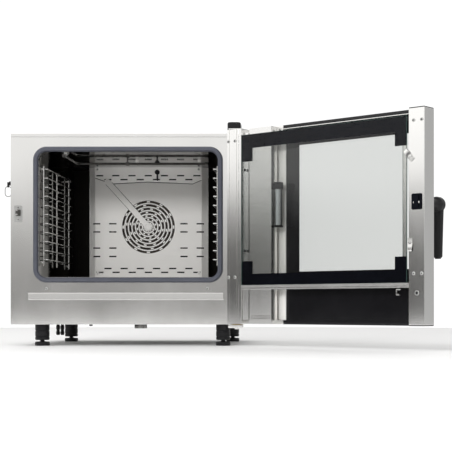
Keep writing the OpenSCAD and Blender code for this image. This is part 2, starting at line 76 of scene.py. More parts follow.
class Tree:
    # a node tree that gets its nodes from one method
    def __init__(self, tree):
        self.tree = tree

    def add(self, kind, settings=None, inputs=None, out=0):
        node = self.tree.nodes.new(kind)
        for setting, value in (settings or {}).items():
            if setting == "stops":
                ramp = node.color_ramp
                while len(ramp.elements) < len(value):
                    ramp.elements.new(0.5)
                for element, (place, colour) in zip(ramp.elements, value):
                    element.position = place
                    element.color = colour if len(colour) == 4 else (*colour, 1.0)
            else:
                setattr(node, setting, value)
        for socket, value in (inputs or {}).items():
            if isinstance(value, Value):
                self.tree.links.new(value.socket, node.inputs[socket])
            else:
                node.inputs[socket].default_value = value
        return Value(self, node.outputs[out])

    def blend(self, mask, low, high):
        return self.add("ShaderNodeMix", {"data_type": "RGBA"}, {0: mask, 6: low, 7: high}, out=2)

    def ramp(self, value, start, end):
        # 0 at start and 1 at end, held beyond both
        span = {"Value": value, "From Min": start, "From Max": end}
        return self.add("ShaderNodeMapRange", {"clamp": True}, span)


class Finish(Tree):
    # a material with one Principled shader; fixed numbers sit on its own sockets
    def __init__(self, name, colour, roughness, metallic=0.0, fixed=None):
        self.material = bpy.data.materials.new(name)
        self.material.use_nodes = True
        super().__init__(self.material.node_tree)
        self.shader = self.tree.nodes["Principled BSDF"]
        sockets = {"Base Color": (*colour, 1.0), "Roughness": roughness, "Metallic": metallic}
        sockets.update(fixed or {})
        for socket, value in sockets.items():
            self.shader.inputs[socket].default_value = value
        self.material.diffuse_color = (*colour, 1.0)

    def grain(self, scale):
        spot = self.add("ShaderNodeTexCoord", out="Object")
        return self.add("ShaderNodeMapping", None, {"Vector": spot, "Scale": scale})

    def noise(self, scale, size, detail=3.0, rough=0.55):
        settings = {"Vector": self.grain(scale), "Scale": size, "Detail": detail, "Roughness": rough}
        return self.add("ShaderNodeTexNoise", None, settings)

    def feed(self, socket, value):
        self.tree.links.new(value.socket, self.shader.inputs[socket])

    def tint(self, mask, low, high):
        self.feed("Base Color", self.blend(mask, (*low, 1), (*high, 1)))

    def bump(self, height, strength, distance):
        inputs = {"Height": height, "Strength": strength, "Distance": distance}
        self.feed("Normal", self.add("ShaderNodeBump", None, inputs))


def brushedSteel(name, colour, roughness, grain=(700, 700, 6), smear=0.06, wear=0.04, metal=1.0):
    finish = Finish(name, colour, roughness, metal)
    lines = finish.noise(grain, 1.0, 2.0)
    clouds = finish.noise((6, 6, 3), 1.0, 4.0)
    finish.feed("Roughness", lines * smear + clouds * 0.10 + (roughness - 0.5 * smear - 0.05))
    dark = [c * (1 - wear) for c in colour]
    light = [min(1, c * (1 + wear)) for c in colour]
    finish.tint(lines * 0.5 + clouds * 0.5, dark, light)
    finish.bump(lines, 0.05, 0.0003)
    return finish.material


def chamberSteel():
    # polished walls, with painted shade darkening them from just before the baffle backwards
    finish = Finish("chamberSteel", (0.24, 0.235, 0.225), 0.06, 1.0)
    spot = finish.add("ShaderNodeTexCoord", out="Object")
    depth = finish.add("ShaderNodeSeparateXYZ", None, {0: spot}, out=1)
    deepShade = finish.ramp(depth, 0.19, 0.24)  # metres behind the room's middle
    lines = finish.noise((60, 60, 60), 1.0, 2.0)
    finish.feed("Roughness", lines * 0.03 + deepShade * 0.3 + 0.045)
    # the near-black tint towards the back is painted shade deep in the chamber
    finish.tint(deepShade, (0.26, 0.255, 0.245), (0.012, 0.011, 0.010))
    finish.bump(lines, 0.04, 0.0003)
    return finish.material


def mouldedBlack(name, colour, roughness, grain=900):
    finish = Finish(name, colour, roughness, 0.0, {"Specular IOR Level": 0.26})
    pebble = finish.noise((1, 1, 1), grain, 2.0)
    clouds = finish.noise((1, 1, 1), 14, 3.0)
    finish.feed("Roughness", clouds * 0.16 + (roughness - 0.08))
    finish.tint(clouds, [c * 0.8 for c in colour], [c * 1.35 for c in colour])
    finish.bump(pebble, 0.12, 0.0003)
    return finish.material


def clearGlass(name, colour, clear):
    # a see-through pane: a little gloss over a tinted clear body
    finish = Finish(name, colour, 0.02, 0.0, {"IOR": 1.45, "Transmission Weight": 1.0})
    shader = finish.tree.nodes.new("ShaderNodeBsdfTransparent")
    shader.inputs["Color"].default_value = (*clear, 1)
    mix = finish.tree.nodes.new("ShaderNodeMixShader")
    edge = finish.add("ShaderNodeFresnel", None, {"IOR": 1.45})
    finish.tree.links.new((edge * 0.42).socket, mix.inputs[0])
    gloss = finish.tree.nodes.new("ShaderNodeBsdfGlossy")
    gloss.inputs["Roughness"].default_value = 0.02
    finish.tree.links.new(shader.outputs[0], mix.inputs[1])
    finish.tree.links.new(gloss.outputs[0], mix.inputs[2])
    finish.tree.links.new(mix.outputs[0], finish.tree.nodes["Material Output"].inputs["Surface"])
    return finish.material


def printedBlack(name, colour, gloss):
    finish = Finish(name, colour, 0.08, 0.0, {"Specular IOR Level": gloss})
    haze = finish.noise((1, 1, 1), 9, 3.0)
    finish.feed("Roughness", haze * 0.12 + 0.05)
    finish.tint(haze, [c * 0.7 for c in colour], [c * 1.5 for c in colour])
    return finish.material


def gasketRubber():
    finish = Finish("gasketRubber", (0.062, 0.066, 0.085), 0.42, 0.0, {"Specular IOR Level": 0.55})
    dust = finish.noise((1, 1, 1), 30, 4.0)
    finish.feed("Roughness", dust * 0.2 + 0.34)
    finish.tint(dust, (0.048, 0.052, 0.070), (0.078, 0.083, 0.105))
    finish.bump(finish.noise((1, 1, 1), 1200, 1.0), 0.08, 0.0002)
    return finish.material


def heatStained(name):
    finish = Finish(name, (0.16, 0.14, 0.12), 0.45, 0.9)
    stain = finish.noise((1, 1, 1), 35, 5.0)
    finish.tint(stain, (0.10, 0.085, 0.08), (0.24, 0.20, 0.17))
    finish.feed("Roughness", stain * 0.25 + 0.32)
    return finish.material


def woolBoard():
    finish = Finish("woolBoard", (0.72, 0.66, 0.45), 0.95)
    fibre = finish.noise((1, 1, 4), 160, 5.0)
    finish.tint(fibre, (0.55, 0.48, 0.30), (0.82, 0.77, 0.58))
    finish.bump(fibre, 0.6, 0.002)
    return finish.material


def glowing(name, colour, power):
    finish = Finish(name, colour, 0.4, 0.0, {"Emission Strength": power})
    finish.shader.inputs["Emission Color"].default_value = (*colour, 1)
    return finish.material


finishes = {
    "casingSteel": brushedSteel("casingSteel", (0.86, 0.855, 0.84), 0.135, smear=0.04, wear=0.02),
    "chamberSteel": chamberSteel(),
    "baffleSteel": brushedSteel("baffleSteel", (0.92, 0.905, 0.875), 0.42, (9, 9, 500), 0.06, 0.03, 0.22),
    "boxSteel": brushedSteel("boxSteel", (0.88, 0.875, 0.86), 0.19, smear=0.05, wear=0.02),
    # near-black base colour: painted dark reflection on the steel wash pipe
    "pipeSteel": brushedSteel("pipeSteel", (0.07, 0.068, 0.065), 0.14, (90, 90, 90), 0.04, 0.03),
    "wireSteel": brushedSteel("wireSteel", (0.82, 0.815, 0.80), 0.22, (90, 90, 90), 0.05, 0.02),
    "zincSteel": brushedSteel("zincSteel", (0.55, 0.55, 0.54), 0.34, (80, 80, 80), 0.08, 0.06),
    "gasketRubber": gasketRubber(),
    "mouldedBlack": mouldedBlack("mouldedBlack", (0.008, 0.008, 0.009), 0.40),
    "handleBlack": mouldedBlack("handleBlack", (0.016, 0.016, 0.017), 0.42, 600),
    "printedBlack": printedBlack("printedBlack", (0.006, 0.006, 0.007), 0.35),
    "paneBlack": printedBlack("paneBlack", (0.004, 0.0045, 0.007), 0.05),
    "clearGlass": clearGlass("clearGlass", (0.90, 0.94, 0.93), (0.905, 0.91, 0.905)),
    "lampGlass": clearGlass("lampGlass", (0.95, 0.96, 0.96), (0.86, 0.87, 0.87)),
    "glassEdge": Finish("glassEdge", (0.05, 0.09, 0.08), 0.1).material,
    "lampCore": Finish("lampCore", (0.86, 0.87, 0.88), 0.30, 0.1).material,
    "brass": brushedSteel("brass", (0.70, 0.52, 0.26), 0.28, (40, 40, 300), 0.08, 0.06),
    "wool": woolBoard(),
    "heaterSheath": heatStained("heaterSheath"),
    "motorEnamel": mouldedBlack("motorEnamel", (0.03, 0.03, 0.033), 0.3, 300),
    # dark steel for small parts, also laid as lines of painted shade along the baffle's fold, the channel's edges,
    # the grille rims and the rail's groove
    "foldShade": Finish("foldShade", (0.10, 0.097, 0.09), 0.5, 0.6).material,
    # near black, for painted shade inside screw sockets
    "recess": Finish("recess", (0.004, 0.004, 0.004), 0.8).material,
    "figures": glowing("figures", (0.75, 0.85, 0.95), 1.6),
    "figuresWarm": glowing("figuresWarm", (1.0, 0.45, 0.12), 1.8),
}
slotFinish = {
    "casing_steel": "casingSteel", "chamber_steel": "chamberSteel", "baffle_steel": "baffleSteel",
    "wire_steel": "wireSteel", "zinc": "zincSteel", "gasket_rubber": "gasketRubber",
    "black_plastic": "mouldedBlack", "black_glass": "printedBlack", "clear_glass": "clearGlass",
    "lamp_glass": "lampGlass", "brass": "brass", "wool": "wool", "heater_sheath": "heaterSheath",
    "motor_black": "motorEnamel",
}
finishSlot = {finish: slot for slot, finish in slotFinish.items()}
finishSlot.update({
    "handleBlack": "black_plastic", "boxSteel": "casing_steel", "foldShade": "baffle_steel",
    "pipeSteel": "wire_steel", "paneBlack": "black_glass", "glassEdge": "clear_glass",
    "lampCore": "lamp_glass", "recess": "black_plastic", "figures": "black_glass", "figuresWarm": "black_glass",
})
for part in frame["record"]["subparts"]:
    piece = nodes[part["node"]]
    piece.data.materials.clear()
    piece.data.materials.append(finishes[slotFinish[part["material_slot"]]])
ownFinish = {"glass_bands": "paneBlack", "fan_wheel": "heaterSheath", "handle_spindle": "baffleSteel"}
for node, finish in ownFinish.items():
    nodes[node].data.materials[0] = finishes[finish]
print("stage: finishes made")

def corners(node, turn):
    # lowest and highest corners of a node, in the axes that turn gives
    back = turn.inverted()
    points = [back @ vertex.co for vertex in nodes[node].data.vertices]
    low = Vector([min(p[i] for p in points) for i in range(3)])
    high = Vector([max(p[i] for p in points) for i in range(3)])
    return low, high


hingeSpot = Vector(joints["door_hinge"]["pos_m"])
outward = Vector(joints["handle_turn"]["axis"])  # the door's outer side
along = Vector((outward.y, -outward.x, 0))  # from the hinge to the free edge
doorTurn = Matrix(((along.x, outward.x, 0, hingeSpot.x), (along.y, outward.y, 0, hingeSpot.y),
                   (0, 0, 1, 0), (0, 0, 0, 1)))
innerPlane = corners("stile_handle", doorTurn)[0].y
door = doorTurn @ Matrix.Translation((0, innerPlane, 0))  # x along, y out from the inner face, z up
still = Matrix.Identity(4)
up, forward = (0, 0, 1), (0, -1, 0)  # forward leads out of the chamber, or away from the door's inner side
bodyOf = {node: body for body, members in frame["record"]["behaviour"]["bodies"].items() for node in members}

def weigh(piece):
    # large faces keep a flat shade beside their eased edges
    weight = piece.modifiers.new("shade", "WEIGHTED_NORMAL")
    weight.keep_sharp = True
    weight.weight = 80


def link(name, data):
    thing = bpy.data.objects.new(name, data)
    bpy.context.scene.collection.objects.link(thing)
    return thing


def settle(name, mesh, finish, body, smooth=35):
    piece = link(name, mesh)
    mesh.materials.append(finishes[finish])
    for face in mesh.polygons:
        face.use_smooth = smooth > 0
    if smooth:
        mesh.set_sharp_from_angle(angle=math.radians(smooth))
        weigh(piece)
    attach(piece, body)
    return piece


def meshFrom(name, shape, turn):
    shape.normal_update()
    bmesh.ops.recalc_face_normals(shape, faces=shape.faces)
    shape.transform(turn)
    mesh = bpy.data.meshes.new(name)
    shape.to_mesh(mesh)
    shape.free()
    return mesh


def fromBmesh(name, shape, turn, finish, body, smooth=35):
    return settle(name, meshFrom(name, shape, turn), finish, body, smooth)


def build(name, finish, body, turn, parts, smooth=35):
    # one piece from rows of a maker and its values
    shape = bmesh.new()
    for add, *values in parts:
        add(shape, *values)
    return fromBmesh(name, shape, turn, finish, body, smooth)


def addSkin(shape, rings, ends=True):
    # faces between rings of as many corners, and a face over each end
    for low, high in zip(rings, rings[1:]):
        for i in range(len(low)):
            j = (i + 1) % len(low)
            shape.faces.new((low[i], low[j], high[j], high[i]))
    if ends:
        shape.faces.new(rings[0][::-1])
        shape.faces.new(rings[-1])


def addBlock(shape, low, high, radius=0.0, segments=2):
    made = bmesh.ops.create_cube(shape, size=1.0)
    middle = (Vector(low) + Vector(high)) / 2
    size = Vector(high) - Vector(low)
    for vertex in made["verts"]:
        vertex.co = Vector([middle[i] + vertex.co[i] * size[i] for i in range(3)])
    if radius:
        edges = list({edge for vertex in made["verts"] for edge in vertex.link_edges})
        radius = min(radius, 0.45 * min(size))
        bmesh.ops.bevel(shape, geom=edges, offset=radius, segments=segments, affect="EDGES", profile=0.5)


def block(name, low, high, finish, body, radius, turn):
    return build(name, finish, body, turn, [(addBlock, low, high, radius)])


def lookAlong(spot, direction):
    return Matrix.Translation(spot) @ Vector(direction).to_track_quat("Z", "Y").to_matrix().to_4x4()


def addLathe(shape, profile, turn, steps=48):
    # profile is (radius, height) pairs; radius 0 at either end closes it
    rings = []
    for radius, height in profile:
        if radius < 1e-7:
            rings.append([shape.verts.new(turn @ Vector((0, 0, height)))])
        else:
            rings.append([shape.verts.new(turn @ Vector((radius * math.cos(a), radius * math.sin(a), height)))
                          for a in [math.tau * i / steps for i in range(steps)]])
    for low, high in zip(rings, rings[1:]):
        for i in range(steps):
            j = (i + 1) % steps
            around = [low[i % len(low)], low[j % len(low)], high[j % len(high)], high[i % len(high)]]
            around = list(dict.fromkeys(around))
            if len(around) > 2:
                shape.faces.new(around)


def lathe(name, profile, spot, direction, finish, body, turn, steps):
    return build(name, finish, body, turn, [(addLathe, profile, lookAlong(spot, direction), steps)])


def addTube(shape, points, radius, sides=14, closed=False):
    # a round bar along points
    points = [Vector(p) for p in points]
    turns = [math.tau * i / sides for i in range(sides)]
    section = [(radius * math.cos(a), radius * math.sin(a)) for a in turns]
    count = len(points)
    rings = []
    side = None
    for i, point in enumerate(points):
        ahead = points[(i + 1) % count] if closed or i < count - 1 else point
        behind = points[i - 1] if closed or i > 0 else point
        way = (ahead - behind).normalized()
        if side is None:
            side = way.orthogonal().normalized()
        side = (side - way * side.dot(way)).normalized()
        up = way.cross(side)
        rings.append([shape.verts.new(point + side * a + up * b) for a, b in section])
    addSkin(shape, rings + rings[:1] if closed else rings, not closed)


def tube(name, points, radius, finish, body, turn, sides=14, closed=False):
    return build(name, finish, body, turn, [(addTube, points, radius, sides, closed)])


def rounded(points, radius, steps=6):
    # the same route with its inner corners rounded off
    points = [Vector(p) for p in points]
    route = [points[0]]
    for before, corner, after in zip(points, points[1:], points[2:]):
        a = corner + (before - corner).normalized() * radius
        b = corner + (after - corner).normalized() * radius
        for i in range(steps + 1):
            k = i / steps
            route.append(a * (1 - k) ** 2 + corner * 2 * k * (1 - k) + b * k ** 2)
    route.append(points[-1])
    return route


def loop(x0, x1, z0, z1, radius, steps=10):
    # a rounded rectangle in x and z, as (x, z, way out) triples
    points = []
    for cx, cz, start in ((x1 - radius, z1 - radius, 0), (x0 + radius, z1 - radius, 90),
                          (x0 + radius, z0 + radius, 180), (x1 - radius, z0 + radius, 270)):
        for i in range(steps + 1):
            a = math.radians(start + 90 * i / steps)
            points.append((cx + radius * math.cos(a), cz + radius * math.sin(a), a))
    return points


def addFrame(shape, outline, section):
    # a closed bar around an outline in x and z; section is (out, forward) pairs
    rings = [[shape.verts.new((x + out * math.cos(a), -ahead, z + out * math.sin(a))) for out, ahead in section]
             for x, z, a in outline]
    addSkin(shape, rings + rings[:1], False)


def addPlate(shape, outline, y0, y1):
    # a flat plate with an outline in x and z
    addSkin(shape, [[shape.verts.new((x, y, z)) for x, z in outline] for y in (y0, y1)])


def addPrism(shape, outline, z0, z1):
    # an upright bar with an outline in x and y
    addSkin(shape, [[shape.verts.new((x, y, z)) for x, y in outline] for z in (z0, z1)])


def addRibbed(shape, levels, ribs, turn):
    # a grooved round body; levels are (height, radius, groove) rows
    rings = []
    for height, radius, groove in levels:
        reach = [radius - (groove if i % 4 > 1 else 0) for i in range(ribs * 4)]
        turns = [math.tau * i / (ribs * 4) for i in range(ribs * 4)]
        rings.append([shape.verts.new(turn @ Vector((r * math.cos(a), r * math.sin(a), height)))
                      for r, a in zip(reach, turns)])
    addSkin(shape, rings)


def cut(piece, hole, turn):
    # takes a closed shape out of piece and leaves plain geometry
    cutter = link("cutter", meshFrom("cutter", hole, turn))
    modifier = piece.modifiers.new("cut", "BOOLEAN")
    modifier.object = cutter
    modifier.operation = "DIFFERENCE"
    modifier.solver = "EXACT"
    piece.modifiers.remove(piece.modifiers["shade"])
    graph = bpy.context.evaluated_depsgraph_get()
    mesh = bpy.data.meshes.new_from_object(piece.evaluated_get(graph))
    piece.modifiers.clear()
    mesh.name = piece.name
    mesh.set_sharp_from_angle(angle=math.radians(35))
    piece.data = mesh
    weigh(piece)
    bpy.data.objects.remove(cutter)


screwShape = {"sides": 6, "recess": 0.42, "depth": 0.5}  # its socket, as shares of the head


def addScrew(shape, inner, spot, direction, radius, height):
    # a domed head and, apart, a black lining in its socket as painted shade
    turn = lookAlong(spot, direction)
    recess, floor = radius * screwShape["recess"], height * screwShape["depth"]
    dome = [(0, -0.0002), (radius, -0.0002), (radius, height * 0.35), (radius * 0.93, height * 0.7),
            (radius * 0.74, height * 0.93), (recess, height), (recess, floor), (0, floor)]
    addLathe(shape, dome, turn, 24)
    socket = recess * 0.97
    lining = [(0, floor), (socket, floor), (socket, height * 0.6), (0, height * 0.6)]
    addLathe(inner, lining, turn, screwShape["sides"])


def screws(name, spots, direction, radius, height, body, turn=still, node=None):
    shape, inner = bmesh.new(), bmesh.new()
    for spot in spots:
        addScrew(shape, inner, spot, direction, radius, height)
    heads = fromBmesh(name, shape, turn, "zincSteel", body)
    fromBmesh(name + "_sockets", inner, turn, "recess", body)
    if node:
        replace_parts(heads, node)
    return heads


view = {"lens": 95.4, "place": (0.676, -4.763, 0.145), "shift": (-0.1925, 0.179)}
camera = link("camera", bpy.data.cameras.new("camera"))
camera.data.lens = view["lens"]
camera.data.sensor_width = 36
camera.data.shift_x, camera.data.shift_y = view["shift"]
camera.data.clip_end = 60
camera.location = view["place"]
camera.rotation_euler = (math.radians(90), 0, 0)
bpy.context.scene.camera = camera

studio = {"floorSize": 3.9, "floor": (0.90, 0.90, 0.90)}
softboxes = {  # place, what it points at, size, watts, whether polished steel mirrors it
    "key": ((-1.2, -3.6, 3.4), (0, 0, 0.4), (2.6, 1.6), 20, True),
    "fill": ((3.4, -3.0, 1.8), (0.5, -0.3, 0.4), (1.6, 1.6), 6, True),
    "face": ((-0.9, -4.2, 1.75), (0, 0.3, 0.5), (1.0, 0.6), 84, False),
    "top": ((0, 0.6, 4.2), (0, 0.6, 0), (10.5, 10.5), 145, True),
    "rim": ((-2.5, 2.6, 2.6), (0, 0, 0.5), (2.0, 1.5), 7, True),
}


def makeFloor():
    shape = bmesh.new()
    bmesh.ops.create_circle(shape, cap_ends=True, radius=studio["floorSize"], segments=96)
    mesh = bpy.data.meshes.new("floor")
    shape.to_mesh(mesh)
    shape.free()
    floor = link("floor", mesh)
    mesh.materials.append(Finish("floorPaint", studio["floor"], 0.7).material)


def softbox(name, place, aim, size, power, mirrored):
    light = bpy.data.lights.new(name, "AREA")
    light.shape = "RECTANGLE"
    light.size, light.size_y = size
    light.energy = power
    lamp = link(name, light)
    lamp.location = place
    lamp.visible_glossy = mirrored
    lamp.rotation_euler = (Vector(aim) - Vector(place)).to_track_quat("-Z", "Y").to_euler()


def skyStops(tones):
    # tones are (degrees above the horizon, brightness) pairs; darker tones are a little warmer
    stops = []
    for degrees, tone in tones:
        green, blue = (0.98, 0.955) if tone < 0.5 else (0.995, 0.985)
        stops.append((0.5 + 0.5 * math.sin(math.radians(degrees)), (tone, tone * green, tone * blue)))
    return stops


sky = {
    "front": [(-90, 0.16), (-6, 0.16), (0, 0.21), (2.3, 0.34), (4.4, 0.55), (6.0, 1.05), (9, 0.93), (25, 0.85),
              (45, 0.5), (90, 0.4)],
    "left": [(-90, 0.02), (-6, 0.03), (0, 0.04), (2.3, 0.09), (3.9, 0.14), (5.0, 0.50), (6.2, 1.15), (9, 1.2),
             (25, 1.4), (45, 0.5), (90, 0.4)],
    "right": 0.46, "behind": 1.06,
    "leftSpan": (-0.45, -0.85), "rightSpan": (0.80, 0.93), "behindSpan": (0.84, 0.92),
}


def makeWorld():
    # a pale studio: white behind the oven, grey near the horizon in front, darker at the left and right
    world = bpy.data.worlds.new("studio")
    bpy.context.scene.world = world
    world.use_nodes = True
    tree = Tree(world.node_tree)
    way = tree.add("ShaderNodeTexCoord", out="Generated")
    across, depth, height = [tree.add("ShaderNodeSeparateXYZ", None, {0: way}, out=i) for i in range(3)]
    upward = height * 0.5 + 0.5
    ahead, aside = [tree.add("ShaderNodeValToRGB", {"stops": skyStops(sky[part])}, {0: upward})
                    for part in ("front", "left")]
    colour = tree.blend(tree.ramp(across, *sky["leftSpan"]), ahead, aside)
    for value, span, tone in ((depth, "behindSpan", "behind"), (across, "rightSpan", "right")):
        colour = tree.blend(tree.ramp(value, *sky[span]), colour, (sky[tone], sky[tone], sky[tone], 1))
    world.node_tree.links.new(colour.socket, world.node_tree.nodes["Background"].inputs["Color"])


makeFloor()
makeWorld()
for name, box in softboxes.items():
    softbox(name, *box)
bpy.context.scene.view_settings.view_transform = "Standard"
print("stage: camera, floor and light")

small = Matrix.Scale(mm, 4)
frontLow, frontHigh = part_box("front_frame")
# millimetres on the casing: y 0 is the front; and on the door: x from the hinge, y out from its inner face
casing = Matrix.Translation(((frontLow[0] + frontHigh[0]) / 2, frontLow[1], 0)) @ small
panel = door @ small


def softened(node, finish, radius, segments=2):
    # the node's own shape with its sharp edges eased
    shape = bmesh.new()
    shape.from_mesh(nodes[node].data)
    bmesh.ops.remove_doubles(shape, verts=shape.verts, dist=0.00001)
    bmesh.ops.dissolve_limit(shape, angle_limit=math.radians(1), verts=shape.verts, edges=shape.edges)
    mesh = bpy.data.meshes.new(node + "_soft")
    shape.to_mesh(mesh)
    shape.free()
    piece = settle(node + "_soft", mesh, finish, bodyOf[node], 0)
    bevel = piece.modifiers.new("ease", "BEVEL")
    bevel.width = radius * mm
    bevel.segments = segments
    bevel.limit_method = "ANGLE"
    bevel.angle_limit = math.radians(30)
    bevel.use_clamp_overlap = True
    bevel.harden_normals = False
    graph = bpy.context.evaluated_depsgraph_get()
    eased = bpy.data.meshes.new_from_object(piece.evaluated_get(graph))
    piece.modifiers.clear()
    piece.data = eased
    for face in eased.polygons:
        face.use_smooth = True
    eased.set_sharp_from_angle(angle=math.radians(35))
    weigh(piece)
    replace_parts(piece, node)
    return piece


def roundedBox(x0, x1, z0, z1, radius, steps=6):
    return [(x, z) for x, z, a in loop(x0, x1, z0, z1, radius, steps)]


front = {"lip": 13, "seam": 0.7, "edge": 0.7, "openingRound": 6, "wall": 2}


def makeFront():
    low, high = corners("front_frame", casing)
    inside, outside = corners("chamber_liner", casing)
    wall, lip = front["wall"], front["lip"]
    top = (high.x, high.y, high.z - lip - front["seam"])
    plate = block("front_plate", (low.x, 0, low.z), top, "casingSteel", "casing", front["edge"], casing)
    hole = bmesh.new()
    x0, x1, z0, z1 = inside.x + wall, outside.x - wall, inside.z + wall, outside.z - wall
    addPlate(hole, roundedBox(x0, x1, z0, z1, front["openingRound"]), -5, 8)
    cut(plate, hole, casing)
    block("front_lip", (low.x, 0.2, high.z - lip), high, "casingSteel", "casing", front["edge"], casing)
    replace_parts(plate, "front_frame")


gasket = {"base": 9.5, "lip": 3.0, "bulb": 8.2, "centre": 4.5, "corner": 50,
          "groove": [(-1.6, 12.1), (0, 11.2), (1.6, 12.1)]}


def makeGasket():
    low, high = corners("door_gasket", casing)
    bulb, centre, base, lip = gasket["bulb"], gasket["centre"], gasket["base"], gasket["lip"]
    turns = [math.radians(degrees) for degrees in range(-10, 191, 10)]
    arc = [(-bulb * math.cos(a), centre + bulb * math.sin(a)) for a in turns]
    upper = [p for p in arc if p[0] < -2] + gasket["groove"] + [p for p in arc if p[0] > 2]
    section = [(-base, 0), (-base, lip)] + upper + [(base, lip), (base, 0)]
    outline = loop(low.x + base, high.x - base, low.z + base, high.z - base, gasket["corner"] - base, 16)
    seal = build("gasket_bulb", "gasketRubber", "casing", casing, [(addFrame, outline, section)], 50)
    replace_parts(seal, "door_gasket")


fan = {"x": 4.5, "z": 477}  # the middle of the grille
baffle = {
    "crease": [(-244, 690), (-145, 656), (1, 664), (188, 656), (253, 683)],  # x and z along the fold
    "lean": 0.20, "wing": 27, "back": 0.7,  # slope above the fold, width and slope of the side wings
    "face": 547.6, "foldLine": 1.5, "highlightRod": 1.1, "highlightIn": 0.8,
    "screwFace": 548, "screws": [(x, z) for x in (-205.5, 214.5) for z in (285, 716)],
}
grille = {"rings": 7, "step": 14.7, "inner": 14, "outer": 20,
          "rim": 0.85, "gap": 0.9, "face": 547.7, "corners": 72}


def creaseHeight(x):
    line = baffle["crease"]
    for (x0, z0), (x1, z1) in zip(line, line[1:]):
        if x <= x1:
            return z0 + (z1 - z0) * (x - x0) / (x1 - x0)
    return line[-1][1]


def leanAt(x, z, low, high):
    # how far the folded sheet stands in front of its flat plane
    ahead = max(0, z - creaseHeight(x)) * baffle["lean"]
    side = max(0, low.x + baffle["wing"] - x, x - high.x + baffle["wing"])
    return ahead - side * baffle["back"]


def makeBaffle():
    low, high = corners("air_baffle", casing)
    line, wing, face = baffle["crease"], baffle["wing"], baffle["face"]
    shape = bmesh.new()
    shape.from_mesh(nodes["air_baffle"].data)
    bmesh.ops.remove_doubles(shape, verts=shape.verts, dist=0.00001)
    shape.transform(casing.inverted())
    folds = [((x, 0, z), (1, 0, 0)) for x, z in line[1:-1]]
    folds += [((x, 0, 0), (1, 0, 0)) for x in (low.x + wing, high.x - wing)]
    folds += [((a[0], 0, a[1]), (-(b[1] - a[1]), 0, b[0] - a[0])) for a, b in zip(line, line[1:])]
    for spot, normal in folds:
        bmesh.ops.bisect_plane(shape, geom=shape.verts[:] + shape.edges[:] + shape.faces[:], dist=0.001,
                               plane_co=spot, plane_no=Vector(normal).normalized())
    for vertex in shape.verts:
        vertex.co.y -= leanAt(vertex.co.x, vertex.co.z, low, high)
    sheet = fromBmesh("baffle_sheet", shape, casing, "baffleSteel", "casing", 2)
    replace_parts(sheet, "air_baffle")
    first, last = [(x, face, creaseHeight(x)) for x in (low.x + wing, high.x - wing)]
    route = [(x, face - leanAt(x, z, low, high), z) for x, z in line[1:-1]]
    # a dark rod along the fold: painted shade of the crease
    tube("baffle_crease_shade", [first] + route + [last], baffle["foldLine"], "foldShade", "casing", casing, 10)
    # bright rods along the baffle's side edges, added as painted highlight of the sheet's edges
    edgeLights = []
    for x in (low.x + baffle["highlightIn"], high.x - baffle["highlightIn"]):
        y = face - leanAt(x, low.z, low, high)
        edgeLights.append((addTube, [(x, y, low.z + 2), (x, y, creaseHeight(x))], baffle["highlightRod"], 10))
    build("baffle_edge_highlights", "wireSteel", "casing", casing, edgeLights)
    # raised rims around each ring of slots in the dark steel: partly real relief, partly painted shade of the
    # pressed rings
    rims = []
    turns = [math.tau * i / grille["corners"] for i in range(grille["corners"])]
    for number in range(grille["rings"]):
        for edge in (grille["inner"] - grille["gap"], grille["outer"] + grille["gap"]):
            r = edge + number * grille["step"]
            ring = [(fan["x"] + r * math.cos(a), grille["face"], fan["z"] + r * math.sin(a)) for a in turns]
            rims.append((addTube, ring, grille["rim"], 8, True))
    build("grille_rims", "foldShade", "casing", casing, rims)
    heads = [(x, baffle["screwFace"] - leanAt(x, z, low, high), z) for x, z in baffle["screws"]]
    screws("baffle_screws", heads, forward, 5.5, 3.2, "casing", casing)


# seam is the radius of the dark rods of painted shade along the channel's edges
channel = {"slope": (-170, 188), "side": 12.6, "reach": (70, 250), "seam": 0.8, "face": 547.5,
           "hub": [(0, 2.0), (9, 2.0), (12.5, 1.5), (14.2, 0), (0, 0)]}


def makeChannel():
    low = corners("steam_channel", casing)[0]
    softened("steam_channel", "baffleSteel", 2.6, 3)
    slope = Vector((channel["slope"][0], 0, channel["slope"][1])).normalized()
    across = Vector((slope.z, 0, -slope.x))
    middle = Vector((fan["x"], channel["face"], fan["z"]))
    # dark rods along the channel's two edges: painted shade
    shadeLines = []
    for side in (-channel["side"], channel["side"]):
        ends = [middle + slope * reach + across * side for reach in channel["reach"]]
        shadeLines.append((addTube, ends, channel["seam"], 10))
    build("channel_edge_shade", "foldShade", "casing", casing, shadeLines)
    spot = (fan["x"], low.y + 0.1, fan["z"])
    lathe("hub_disc", channel["hub"], spot, forward, "baffleSteel", "casing", casing, 40)


pipe = {"radius": 5, "bend": 26, "in": 8, "tip": 15, "clamp": (-48, -34), "clampTop": 725,
        "nozzle": [(0, 0), (5.6, 0), (7, 1.2), (7, 12.5), (5.5, 14), (0, 14)],
        "nut": [(0, 0), (7.2, 0), (7.2, 9), (0, 9)]}


def makeWashPipe():
    low, high = corners("wash_pipe", casing)
    x, y, z = low.x + pipe["in"], high.y - pipe["in"], (low.z + high.z) / 2
    tip = high.x - pipe["tip"]
    route = rounded([(x, low.y, z), (x, y, z), (tip, y, z)], pipe["bend"], 10)
    # the tube's near-black steel is painted dark reflection
    arm = build("wash_tube", "pipeSteel", "casing", casing, [
        (addTube, route, pipe["radius"], 20),
        (addLathe, pipe["nozzle"], lookAlong((tip, y, z), (1, 0, 0)), 6),  # six-sided
        (addLathe, pipe["nut"], lookAlong((x, low.y + 4, z), (0, 1, 0)), 6),
    ], 30)
    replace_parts(arm, "wash_pipe")
    left, right = pipe["clamp"]
    build("pipe_clamp", "foldShade", "casing", casing, [
        (addBlock, (left, y - 6.4, z - 6.8), (right, y + 6.4, z + 6.8), 1.2),
        (addBlock, (left + 4, y - 1.2, z + 6), (right - 4, y + 1.2, pipe["clampTop"]), 0.5),
    ])


sensor = {"nose": [(0, 0), (10, 0), (10, 5), (8.4, 7), (0, 7.4)], "stem": 3.0, "drop": 5.5}


